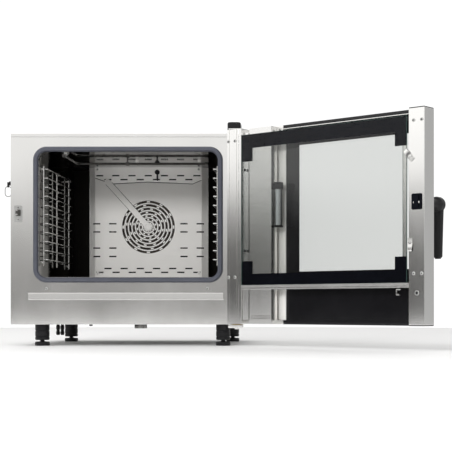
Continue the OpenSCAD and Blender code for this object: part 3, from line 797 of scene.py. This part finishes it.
def makeSensor():
    low, high = corners("chamber_sensor", casing)
    x, z = (low.x + high.x) / 2, high.z - sensor["drop"]
    ahead = max(0, z - creaseHeight(x)) * baffle["lean"]  # it comes through the leaning part of the sheet
    back = high.y - ahead + 1
    stem = [(x, back - 3.5, z - 0.5), (x, back - 3.5, low.z - 8), (x, high.y, low.z - 11)]
    probe = build("sensor_probe", "mouldedBlack", "casing", casing, [
        (addLathe, sensor["nose"], lookAlong((x, back, z), forward), 28),
        (addTube, rounded(stem, 3, 4), sensor["stem"], 12),
    ])
    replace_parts(probe, "chamber_sensor")


rack = {"in": 3, "depths": (60, 290, 520), "tip": [(3.02, -1.5), (3.02, 0), (2.1, 1.3), (0, 1.9)]}


def makeRacks():
    # eased hooks, and a round end on each upright
    softened("chamber_hooks", "baffleSteel", 0.7)
    for node in ("rack_left", "rack_right"):
        low, high = corners(node, casing)
        x = low.x + rack["in"] if node == "rack_left" else high.x - rack["in"]
        tips = []
        for y in rack["depths"]:
            for z, way in ((low.z, -1), (high.z, 1)):
                tip = [(radius, way * height) for radius, height in rack["tip"]][::way]
                tips.append((addLathe, tip, Matrix.Translation((x, y, z)), 20))
        build(node + "_tips", "wireSteel", "casing", casing, tips)


plug = {"y": 60, "z": 608, "in": 4, "lug": (4, 20, 6), "lugRound": 3.5,
        "knob": [(0, 21), (6.4, 21), (7.6, 20), (8, 18), (8, 13), (7.1, 12.4), (7.1, 10), (8, 9.4), (8, 0),
                 (0, 0)],
        "hole": [(0, -3), (1.8, -3), (1.8, 12), (0, 12)]}
pullRing = {"x": -454, "z": 597, "half": 11.8, "straight": 15, "wire": 1.2}


def makeSidePlug():
    low, high = corners("side_plug", casing)
    y = plug["y"]
    spot = (high.x - plug["in"], y, plug["z"])
    knob = lathe("side_knob", plug["knob"], spot, (-1, 0, 0), "mouldedBlack", "casing", casing, 36)
    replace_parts(knob, "side_plug")
    half, tall, deep = plug["lug"]
    sideways = casing @ Matrix(((0, 1, 0, low.x), (1, 0, 0, 0), (0, 0, 1, 0), (0, 0, 0, 1)))
    outline = roundedBox(y - half, y + half, low.z, low.z + tall, plug["lugRound"], 5)
    lug = build("side_lug", "mouldedBlack", "casing", sideways, [(addPlate, outline, 0, deep)])
    hole = bmesh.new()
    addLathe(hole, plug["hole"], lookAlong((low.x, y, pullRing["z"]), (1, 0, 0)), 24)
    cut(lug, hole, casing)
    x, top, half = pullRing["x"], pullRing["z"] - pullRing["half"], pullRing["half"]
    turns = [math.pi * i / 12 for i in range(13)]
    route = [(x + half * math.cos(a), y, top + half * math.sin(a)) for a in turns]
    route += [(x - half * math.cos(a), y, top - pullRing["straight"] - half * math.sin(a)) for a in turns]
    wire = tube("ring_wire", route, pullRing["wire"], "foldShade", "ring_body", casing, 12, True)
    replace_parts(wire, "pull_ring")


strike = {
    "nose": [(-6, -2), (-6, -8), (-5, -24), (-3.4, -29.5), (0, -31.5), (3.4, -29.5), (5, -24), (6, -8),
             (6, -2)],
    "noseSpan": (487.5, 498.5), "seatSpan": (481, 505), "rollerSpan": (483.5, 502.5),
    "roller": 4.0, "rollerY": -26.5, "round": 5, "proud": -2, "screws": (467.5, 513),
}


def makeStrike():
    low, high = corners("strike", casing)
    x, proud = (low.x + high.x) / 2, strike["proud"]
    outline = roundedBox(low.x, high.x, low.z, high.z, strike["round"])
    plate = build("strike_plate", "zincSteel", "casing", casing, [(addPlate, outline, proud, 0)])
    seat0, seat1 = strike["seatSpan"]
    build("strike_nose", "foldShade", "casing", casing, [
        (addPrism, [(x + a, b) for a, b in strike["nose"]], *strike["noseSpan"]),
        (addBlock, (x - 9, -7, seat0), (x + 9, proud, seat1), 1.6),
    ])
    pin = [(x, strike["rollerY"], z) for z in strike["rollerSpan"]]
    tube("strike_roller", pin, strike["roller"], "wireSteel", "casing", casing, 20)
    screws("strike_screws", [(x, proud, z) for z in strike["screws"]], forward, 5.2, 2.6, "casing", casing)
    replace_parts(plate, "strike")


trough = {"lean": 0.8, "wallFrom": -8, "roll": 1.1, "rollIn": 1.6, "screwIn": 4.5}


def makeTrough():
    low, high = corners("drip_trough", casing)
    tray = softened("drip_trough", "casingSteel", 0.5)
    inward = casing.inverted()
    for vertex in tray.data.vertices:
        spot = inward @ vertex.co
        if spot.y < trough["wallFrom"]:
            spot.y += trough["lean"] * (spot.z - low.z) / (high.z - low.z)
        vertex.co = casing @ spot
    y, z = low.y + trough["rollIn"], high.z - trough["roll"]
    tube("trough_roll", [(low.x, y, z), (high.x, y, z)], trough["roll"], "casingSteel", "casing", casing)
    low, high = corners("front_screws", casing)
    edge = trough["screwIn"]
    spots = [(x, 0, low.z + edge) for x in (low.x + edge, high.x - edge)]
    screws("front_screw_heads", spots, forward, 4.6, 2.0, "casing", casing, "front_screws")


foot = {
    "spots": {"fl": (-326, 60), "fr": (352, 60), "rl": (-326, 600), "rr": (352, 600)}, "radius": 26.5,
    "pad": [(0, 0), (24.5, 0), (26.6, 0.9), (27.5, 3), (27.5, 11), (26.6, 13.6), (24, 15), (12, 15.6),
            (8.6, 17), (8, 19.5), (8, 30), (0, 30)],
}


def makeFeet():
    top = corners("foot_housings", casing)[1].z
    r = foot["radius"]
    sleeve = [(0, 40), (8.3, 40), (8.3, 21), (r - 2.5, 21.2), (r, 24), (r, 31.6), (r - 1.6, 33),
              (r - 1.6, 34.6), (r, 36), (r, 53.6), (r - 1.6, 55), (r - 1.6, 56.6), (r, 58), (r, top - 1.5),
              (r - 1.2, top), (0, top)]
    sleeves = [(addLathe, sleeve, Matrix.Translation((x, y, 0)), 44) for x, y in foot["spots"].values()]
    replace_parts(build("foot_sleeves", "mouldedBlack", "casing", casing, sleeves), "foot_housings")
    for name, (x, y) in foot["spots"].items():
        piece = lathe("pad_" + name, foot["pad"], (x, y, 0), up, "mouldedBlack", "pad_" + name, casing, 44)
        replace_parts(piece, "foot_pad_" + name)


hose = {
    "spots": (-382, -364), "nub": -244, "y": 600,
    "end": [(0, 27), (5.6, 27), (7.2, 29), (8.3, 33), (8.3, 41), (6.8, 43), (6.8, 51), (8.3, 53), (8.3, 66),
            (6.4, 68), (6.4, 80), (0, 80)],
    "nubEnd": [(0, 65), (5.6, 65), (7, 66.5), (7, 80), (0, 80)],
}


def makeUnderside():
    ends = [(addLathe, hose["end"], Matrix.Translation((x, hose["y"], 0)), 28) for x in hose["spots"]]
    ends.append((addLathe, hose["nubEnd"], Matrix.Translation((hose["nub"], hose["y"], 0)), 24))
    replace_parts(build("hose_ends", "mouldedBlack", "casing", casing, ends), "under_glands")


inlet = {"spots": (-300, -240), "z": 155, "back": 770, "crest": 13.2, "root": 12.3, "pitch": 2.1, "threads": 9}
vent = {"outer": 30, "inner": 28.5,
        "collar": [(30.2, 787), (44, 787), (44, 787.9), (33, 788.6), (31.3, 790.5), (30.2, 792)]}


def makeRear():
    crest = inlet["crest"]
    thread = [(0, 0), (crest, 0), (crest, 3)]
    for i in range(inlet["threads"]):
        thread += [(inlet["root"], 4 + inlet["pitch"] * i), (crest, 5 + inlet["pitch"] * i)]
    thread += [(12.2, 24.4), (11.4, 25), (9.4, 25), (9.4, 9), (0, 9)]
    spots = [(x, inlet["back"], inlet["z"]) for x in inlet["spots"]]
    fittings = [(addLathe, thread, lookAlong(spot, (0, 1, 0)), 36) for spot in spots]
    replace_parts(build("inlet_threads", "brass", "casing", casing, fittings), "water_inlets")
    low, high = corners("vent_stack", casing)
    spot = ((low.x + high.x) / 2, (low.y + high.y) / 2, 0)
    r, bore, top = vent["outer"], vent["inner"], high.z
    wall = [(bore, low.z), (r, low.z), (r, top - 3.2), (r - 0.8, top - 2.4), (r, top - 1.4), (r - 0.4, top),
            (bore, top - 0.3), (bore, low.z)]
    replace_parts(lathe("vent_tube", wall, spot, up, "casingSteel", "casing", casing, 48), "vent_stack")
    collar = vent["collar"] + vent["collar"][:1]
    lathe("vent_collar", collar, spot, up, "casingSteel", "casing", casing, 48)


cover = {"side": 430, "back": 770, "top": 787, "rows": (24, 745), "columns": (100, 300, 520, 765), "fold": 0.9}


def makeCover():
    # screws and folded seams on the sides, top and back
    side, back, top, fold = cover["side"], cover["back"], cover["top"], cover["fold"]
    spots = {(-1, 0, 0): [(-side, y, z) for y in cover["rows"] for z in cover["columns"]],
             (1, 0, 0): [(side, y, z) for y in cover["rows"] for z in cover["columns"]],
             (0, 1, 0): [(x, back, z) for x in (-410, -140, 140, 410) for z in (96, 771)],
             (0, 0, 1): [(x, y, top) for x in (-400, -130, 250, 400) for y in (30, 745)]}
    for letter, (way, heads) in zip("abcd", spots.items()):
        screws("cover_screws_" + letter, heads, way, 4.2, 1.9, "casing", casing)
    strips = [(addBlock, (x, 752, 82), (x + fold, back, 786), 0.4) for x in (-side - fold, side)]
    strips.append((addBlock, (-428, 752, top), (428, back, top + fold), 0.4))
    build("cover_folds", "casingSteel", "casing", casing, strips)


for make in (makeFront, makeGasket, makeBaffle, makeChannel, makeWashPipe, makeSensor, makeRacks, makeSidePlug,
             makeStrike, makeTrough, makeFeet, makeUnderside, makeRear, makeCover):
    make()
print("stage: casing")


hinge = {"wider": (10, 3), "round": 12, "screws": (392, 420), "top": 797,
         "dome": ((797, 0), (818, 0), (821.5, 0.9), (823.4, 3), (824, 6))}  # height, way in from the edge


def makeHinge():
    softened("hinge_bracket_upper", "casingSteel", 1.0)
    softened("hinge_bracket_lower", "casingSteel", 1.0)
    low, high = corners("hinge_cap", casing)
    x0, x1, y0, y1 = low.x - hinge["wider"][0], high.x + hinge["wider"][1], low.y, high.y
    cx, cy = (x0 + x1) / 2, (y0 + y1) / 2
    outline = roundedBox(x0, x1, y0, y1, hinge["round"], 8)
    shape = bmesh.new()
    rings = []
    for z, inset in hinge["dome"]:
        kx, ky = 1 - 2 * inset / (x1 - x0), 1 - 2 * inset / (y1 - y0)
        rings.append([shape.verts.new((cx + (x - cx) * kx, cy + (y - cy) * ky, z)) for x, y in outline])
    addSkin(shape, rings)
    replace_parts(fromBmesh("hinge_dome", shape, casing, "mouldedBlack", "casing", 50), "hinge_cap")
    heads = [(x, 39, hinge["top"]) for x in hinge["screws"]]
    screws("bracket_screws", heads, up, 4, 2, "casing", casing)


stile = {"ease": 2.0, "cap": 2.6, "grooves": [(-9, 2.0), (27, 2.4)], "step": 36}


def makeStiles():
    low, high = corners("stile_handle", panel)
    latchLow, latchHigh = corners("latch_housing", panel)
    shape = bmesh.new()
    cap = stile["cap"]
    addBlock(shape, (low.x, 0, low.z + cap), (high.x, high.y, high.z - cap), stile["ease"], 3)
    post = fromBmesh("stile_post", shape, panel, "casingSteel", "door")
    hole = bmesh.new()
    addBlock(hole, (latchLow.x + 0.6, -6, latchLow.z + 0.6), (latchHigh.x - 0.6, 30, latchHigh.z - 0.6))
    cut(post, hole, panel)
    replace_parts(post, "stile_handle")
    shape = bmesh.new()
    for z in (low.z, high.z - stile["cap"]):
        addBlock(shape, (low.x + 0.7, 0.7, z), (high.x - 0.7, high.y - 0.7, z + stile["cap"]), 1.0, 2)
    fromBmesh("stile_caps", shape, panel, "mouldedBlack", "door")
    low, high = corners("stile_hinge", panel)
    deep = high.y
    face = [(low.x, 1.2), (low.x + 1.2, 0)]
    for middle, width in stile["grooves"]:
        left, right = middle - width / 2, middle + width / 2
        face += [(left, 0), (left + 0.2, 1.4), (right - 0.2, 1.4), (right, 0)]
    step = stile["step"]
    face += [(step, 0), (step + 0.6, 1.2), (high.x - 1.2, 1.2), (high.x, 2.4), (high.x, deep), (low.x, deep)]
    shape = bmesh.new()
    addPrism(shape, face, low.z, high.z)
    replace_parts(fromBmesh("hinge_post", shape, panel, "casingSteel", "door", 20), "stile_hinge")


spindle = (810.9, 482.5)  # the handle's middle: along the door, up
doorScrews = {"columns": (-13, 18.5, 798.4, 829.4), "rows": (253, 748.5), "plugHeight": 190,
              "ring": [(5.2, 0), (8, 0), (8, 1.2), (7.2, 2), (5.8, 2), (5.2, 1.4), (5.2, 0)],
              "plug": [(0, 0.1), (5.2, 0.1), (5.2, 0.9), (4, 1.3), (0, 1.4)]}


def makeDoorScrews():
    spots = [(s, 0, z) for s in doorScrews["columns"] for z in doorScrews["rows"]]
    screws("stile_screws", spots, forward, 6.0, 2.6, "door", panel, "door_screws")
    spot = (spindle[0], 0, doorScrews["plugHeight"])
    lathe("stile_ring", doorScrews["ring"], spot, forward, "zincSteel", "door", panel, 36)
    lathe("stile_plug", doorScrews["plug"], spot, forward, "mouldedBlack", "door", panel, 30)


latch = {"round": 5, "bar": 3.4, "reach": 11}


def makeLatch():
    low, high = corners("latch_housing", panel)
    s, z = spindle
    shape = bmesh.new()
    addPlate(shape, roundedBox(low.x, high.x, low.z, high.z, latch["round"]), -2, 3)
    addBlock(shape, (low.x + 2, 2, low.z + 2), (high.x - 2, 28, high.z - 2), 1)
    keeper = fromBmesh("latch_case", shape, panel, "paneBlack", "door")
    hole = bmesh.new()
    addPlate(hole, roundedBox(s - 9, s + 9, z - 16, z + 22.5, 3), -6, 22)
    cut(keeper, hole, panel)
    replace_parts(keeper, "latch_housing")
    bar = [(s - latch["reach"], -2.2, z), (s + latch["reach"], -2.2, z)]
    tube("latch_bar", bar, latch["bar"], "baffleSteel", "door", panel, 18)


grip = {
    "base": 22, "stem": 17, "head": 26, "reach": 124.8,
    "half": (20.5, 15.8), "thick": (11.5, 8.4), "square": 0.72,  # at the top and at the tip
    "levels": 22, "corners": 28, "tipStart": 0.955, "top": 6, "longer": 3,
    "cap": [(0, 78.2), (8.5, 78.2), (9, 78.8), (8.2, 79), (0, 79)],
}


def makeHandle():
    low = corners("handle", panel)[0]
    s, z = spindle
    base, stem, head = grip["base"], grip["stem"], grip["head"]
    shape = bmesh.new()
    turned = [(0, 0), (base - 1, 0), (base, 1), (base, 7), (base - 2.5, 9.6), (stem + 0.8, 11), (stem - 1, 16),
              (stem - 1.6, 30), (stem - 1, 44), (stem + 3, 48.2), (head - 3, 49.6), (head - 0.5, 52),
              (head, 56), (head, 70), (head - 1.4, 75), (head - 5, 78.2), (head - 11, 79), (0, 79)]
    addLathe(shape, turned, lookAlong((s, low.y, z), (0, 1, 0)), 56)
    rings = []
    for i in range(grip["levels"] + 1):
        k = i / grip["levels"]
        height = (z - grip["top"]) * (1 - k) + (low.z - grip["longer"]) * k
        close = max(0.0, (k - grip["tipStart"]) / (1 - grip["tipStart"]))  # rounds off the tip
        shrink = math.sqrt(max(0.35, 1 - close * close))
        flare = (1 - k) ** 1.3
        half = (grip["half"][0] * flare + grip["half"][1] * (1 - flare)) * shrink
        thick = (grip["thick"][0] * (1 - k) + grip["thick"][1] * k) * shrink
        ring = []
        for j in range(grip["corners"]):
            a = math.tau * j / grip["corners"]
            c, d = [math.copysign(abs(side) ** grip["square"], side) for side in (math.cos(a), math.sin(a))]
            ring.append(shape.verts.new((s + half * c, grip["reach"] + thick * d, height)))
        rings.append(ring)
    addSkin(shape, rings)
    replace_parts(fromBmesh("handle_grip", shape, panel, "handleBlack", "door_handle", 45), "handle")
    spot = (s, low.y - 0.02, z)
    lathe("handle_cap", grip["cap"], spot, (0, 1, 0), "mouldedBlack", "door_handle", panel, 36)


clip = {"width": 18, "thick": 1.8, "length": 29,
        "boss": [(0, -0.2), (7, -0.2), (7, 2.4), (6.2, 3.0), (0, 3.2)],
        "spots": {"clip_top": ((786.4, 631), -40), "clip_bottom": ((786.4, 354), 180)}}


def makeClip(node, body, spot, degrees):
    # a pressed strip with a raised end and a soft tip, on a pivot screw
    s, z = spot
    turn = panel @ Matrix.Translation((s, 0, z)) @ Matrix.Rotation(math.radians(degrees), 4, "Y")
    paneFace = corners("inner_glass", panel)[0].y
    face = paneFace - 0.6
    shape = bmesh.new()
    flat, raised = face - 0.1, face - 1.8
    side = [(flat, -14), (flat, 8), (raised, 11), (raised, 25), (face - 0.4, clip["length"])]
    width = clip["width"] / 2
    rings = []
    for y, height in side:
        half = width if height < 20 else width * 0.82
        section = ((-half, 0), (half, 0), (half, clip["thick"]), (-half, clip["thick"]))
        rings.append([shape.verts.new((x, y - d, height)) for x, d in section])
    addSkin(shape, rings)
    addLathe(shape, clip["boss"], lookAlong((0, face, 0), forward), 28)
    arm = fromBmesh(node + "_arm", shape, turn, "wireSteel", body)
    screws(node + "_pivot", [(0, face - 1.7, 0)], forward, 3.6, 1.5, body, turn)
    tipLow, tipHigh = (-width * 0.9, face - 1.9, 15), (width * 0.9, paneFace - 0.15, 27)
    block(node + "_tip", tipLow, tipHigh, "mouldedBlack", body, 0.5, turn)
    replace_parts(arm, node)


def makePane(name, node, body):
    # clear faces and a darker rim, as a cut pane shows
    low, high = corners(node, panel)
    pane = build(name, "clearGlass", body, panel, [(addBlock, low, high, 0.5, 1)], 0)
    pane.data.materials.append(finishes["glassEdge"])
    flat = Vector(outward)
    for face in pane.data.polygons:
        if abs(face.normal.dot(flat)) < 0.9:
            face.material_index = 1
    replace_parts(pane, node)


rails = {
    "split": 217.5, "line": 3.0, "tall": 15, "groove": (212, 213.6), "bracket": (727, 745, 183, 203),
    "plate": (188.6, 216, 740, 789), "plateY": 36, "boltSpot": (202, 776),
    "backing": ((150, 54.4, 99), (214, 55.8, 775)), "flange": ((49.5, 6.6, 99), (79, 8, 775)),
}
paneTrim = {"strip": (754, 770.4), "edge": (752.4, 753.8), "rows": (226, 764),
            "buttonX": 68, "buttonRows": (639, 347),
            "button": [(0, -0.1), (5.2, -0.1), (5.2, 0.12), (4, 0.2), (0, 0.2)]}


def makeRails():
    # steel up to the control panel, then the pane's black print in front of the rail
    low, high = corners("door_rails", panel)
    split, line, tall = rails["split"], rails["line"], rails["tall"]
    top = high.z - tall
    for name, z in (("rail_steel_0", low.z), ("rail_steel_1", top)):
        rail = block(name, (low.x, low.y, z), (split, high.y, z + tall), "casingSteel", "door", 0.8, panel)
        if z == low.z:
            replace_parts(rail, "door_rails")
    railLow, railHigh = corners("glass_rail", panel)
    inner, outer = corners("inner_glass", panel)
    back, strip, edge = outer.y + 1.2, paneTrim["strip"], paneTrim["edge"]
    z0, z1 = paneTrim["rows"]
    blocks = (
        ("rail_black_low", (split, low.y, low.z), (high.x, high.y, low.z + tall), "printedBlack", "door", 0.8),
        ("rail_black_top", (split, low.y, top + line + 0.1), high, "printedBlack", "door", 0.8),
        ("rail_line_top", (split, low.y - 1.2, top), (high.x, high.y, top + line), "boxSteel", "door", 0.5),
        # a thin dark line along the glass rail: painted shade in its groove
        ("rail_groove", (railLow.x + 2, railLow.y - 0.3, rails["groove"][0]),
         (railHigh.x - 6, railLow.y + 0.3, rails["groove"][1]), "foldShade", "door", 0.2),
        ("lamp_backing", *rails["backing"], "baffleSteel", "door", 0.4),
        ("box_flange", *rails["flange"], "boxSteel", "door", 0.4),
        ("pane_strip", (strip[0], back, z0), (strip[1], back + 1.2, z1), "boxSteel", "inner_pane", 0.4),
        ("pane_strip_edge", (edge[0], back - 0.4, z0), (edge[1], back + 1.2, z1), "glassEdge", "inner_pane",
         0.4),
    )
    for row in blocks:
        block(*row, panel)
    softened("glass_rail", "wireSteel", 0.8)
    softened("electronics_box", "boxSteel", 0.5)
    s0, s1, z0, z1 = rails["bracket"]
    legs = (((s0, z1 - 3), (s1, z1)), ((s0, z0), (s0 + 3, z1)), ((s0, z0), (s1 - 5, z0 + 3)))
    build("rail_bracket", "boxSteel", "door", panel,
          [(addBlock, (a[0], 2, a[1]), (b[0], 12, b[1]), 0.5) for a, b in legs])
    s0, s1, z0, z1 = rails["plate"]
    y = rails["plateY"]
    block("rail_plate", (s0, y, z0), (s1, y + 1.5, z1), "casingSteel", "door", 0.4, panel)
    screws("rail_screw", [(rails["boltSpot"][0], y, rails["boltSpot"][1])], forward, 4.2, 2.0, "door", panel)
    spots = [(paneTrim["buttonX"], inner.y, z) for z in paneTrim["buttonRows"]]
    build("pane_buttons", "mouldedBlack", "inner_pane", panel,
          [(addLathe, paneTrim["button"], lookAlong(spot, forward), 28) for spot in spots])


lamp = {"ribs": 28, "groove": 1.1, "core": 9.5,
        "cap": ((-25, 16.8), (-23, 17.8), (-3, 17.8), (-0.6, 16), (0, 12)),  # height from the top, radius
        "foot": ((0, 0), (15.5, 0), (17.5, 1.6), (17.5, 5.4), (16, 7), (0, 7)), "glass": (15, 13.4)}


def makeLamp():
    low, high = corners("lamp_caps", panel)
    s, t = (low.x + high.x) / 2, (low.y + high.y) / 2
    cap = [(height, radius, lamp["groove"]) for height, radius in lamp["cap"]]
    ends = build("lamp_ends", "mouldedBlack", "door", panel, [
        (addRibbed, cap, lamp["ribs"], Matrix.Translation((s, t, high.z))),
        (addLathe, lamp["foot"], Matrix.Translation((s, t, low.z)), 40),
    ], 25)
    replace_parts(ends, "lamp_caps")
    low, high = corners("lamp_tube", panel)
    outer, inner = lamp["glass"]
    wall = [(outer, low.z), (outer, high.z), (inner, high.z), (inner, low.z), (outer, low.z)]
    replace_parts(lathe("lamp_glass", wall, (s, t, 0), up, "lampGlass", "door", panel, 44), "lamp_tube")
    core = [(0, low.z), (9, low.z), (9, low.z + 8), (lamp["core"], low.z + 11), (lamp["core"], high.z - 14),
            (11, high.z - 10), (11, high.z), (0, high.z)]
    lathe("lamp_core", core, (s, t, 0), up, "lampCore", "door", panel, 32)


dial = {
    "ribs": 36, "height": 18,
    "knob": ((0, 20.5, 0), (0.8, 21.9, 0.7), (14, 21.4, 0.7), (16.8, 20.4, 0), (18, 17.5, 0)),
    "ticks": 30, "long": 5, "short": 3, "from": 26, "half": 0.35, "swing": 140,
}
panelFace = 60  # the control panel's outer side
figures = (("heat_figures", "180", 40, 630, "figuresWarm"), ("time_figures", "25", 55, 540, "figures"))
figure = {"width": 20, "pitch": 32, "half": 1.3,
          "strokes": {"1": "bc", "8": "abcdefg", "0": "abcdef", "2": "abged", "5": "afgcd"},
          "bars": {"a": (0, 2, 1, 2), "b": (1, 1, 1, 2), "c": (1, 0, 1, 1), "d": (0, 0, 1, 0),
                   "e": (0, 0, 0, 1), "f": (0, 1, 0, 2), "g": (0, 1, 1, 1)}}
button = {"cap": [(0, 0), (9, 0), (9, 7), (8.2, 7.8), (6, 8), (0, 7.4)]}


def makeDial():
    low, high = corners("dial", panel)
    s, z = (low.x + high.x) / 2, (low.z + high.z) / 2
    t = high.y - dial["height"]
    facing = Matrix(((1, 0, 0, s), (0, 0, 1, t), (0, 1, 0, z), (0, 0, 0, 1)))
    knob = build("dial_knob", "mouldedBlack", "dial_body", panel, [
        (addRibbed, dial["knob"], dial["ribs"], facing),
    ], 25)
    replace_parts(knob, "dial")
    mark = (s - 1, t + 17.2, z + 6), (s + 1, t + 18.2, z + 16.5)
    block("dial_mark", *mark, "figures", "dial_body", 0.3, panel)
    ticks = []
    near, half = dial["from"], dial["half"]
    for i in range(dial["ticks"] + 1):
        a = math.radians(dial["swing"] * (2 * i / dial["ticks"] - 1))
        far = near + (dial["long"] if i % 5 == 0 else dial["short"])
        x, y = math.sin(a), math.cos(a)
        tick = [(near, -half), (far, -half), (far, half), (near, half)]
        ticks.append((addPlate, [(s + r * x + w * y, z + r * y - w * x) for r, w in tick], panelFace,
                      panelFace + 0.25))
    build("dial_ticks", "mouldedBlack", "door", panel, ticks, 0)


def makeDisplay():
    low, high = corners("display", panel)
    whole = roundedBox(low.x, high.x, low.z, high.z, 6)
    raised = roundedBox(low.x + 1.6, high.x - 1.6, low.z + 1.6, high.z - 1.6, 5)
    glass = build("display_glass", "printedBlack", "door", panel, [
        (addPlate, whole, panelFace, panelFace + 0.9), (addPlate, raised, panelFace + 0.5, panelFace + 1),
    ])
    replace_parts(glass, "display")
    wide = figure["width"]
    for name, text, left, bottom, finish in figures:
        strokes = []
        for number, digit in enumerate(text):
            # the panel is read from outside, where its left is at high x
            right = high.x - left - number * figure["pitch"]
            for stroke in figure["strokes"][digit]:
                x0, y0, x1, y1 = figure["bars"][stroke]
                a = Vector((right - x0 * wide, bottom + y0 * wide))
                b = Vector((right - x1 * wide, bottom + y1 * wide))
                way = (b - a).normalized()
                off = Vector((-way.y, way.x)) * figure["half"]
                a, b = a + way * 1.6, b - way * 1.6
                ends = [a - way * 1.2, a + off, b + off, b + way * 1.2, b - off, a - off]
                strokes.append((addPlate, [(p.x, p.y) for p in ends], panelFace + 0.6, panelFace + 1))
        build(name, finish, "door", panel, strokes, 0)


def makeButton():
    low, high = corners("power_button", panel)
    spot = ((low.x + high.x) / 2, low.y, (low.z + high.z) / 2)
    push = lathe("button_cap", button["cap"], spot, (0, 1, 0), "wireSteel", "button_body", panel, 40)
    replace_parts(push, "power_button")


for make in (makeHinge, makeStiles, makeDoorScrews, makeLatch, makeHandle):
    make()
for node, (spot, degrees) in clip["spots"].items():
    makeClip(node, node + "_body", spot, degrees)
makePane("inner_pane_glass", "inner_glass", "inner_pane")
makePane("outer_pane_glass", "outer_glass", "door")
for make in (makeRails, makeLamp, makeDial, makeDisplay, makeButton):
    make()
softened("control_fascia", "casingSteel", 0.5)
print("stage: door")

print("stage: done")
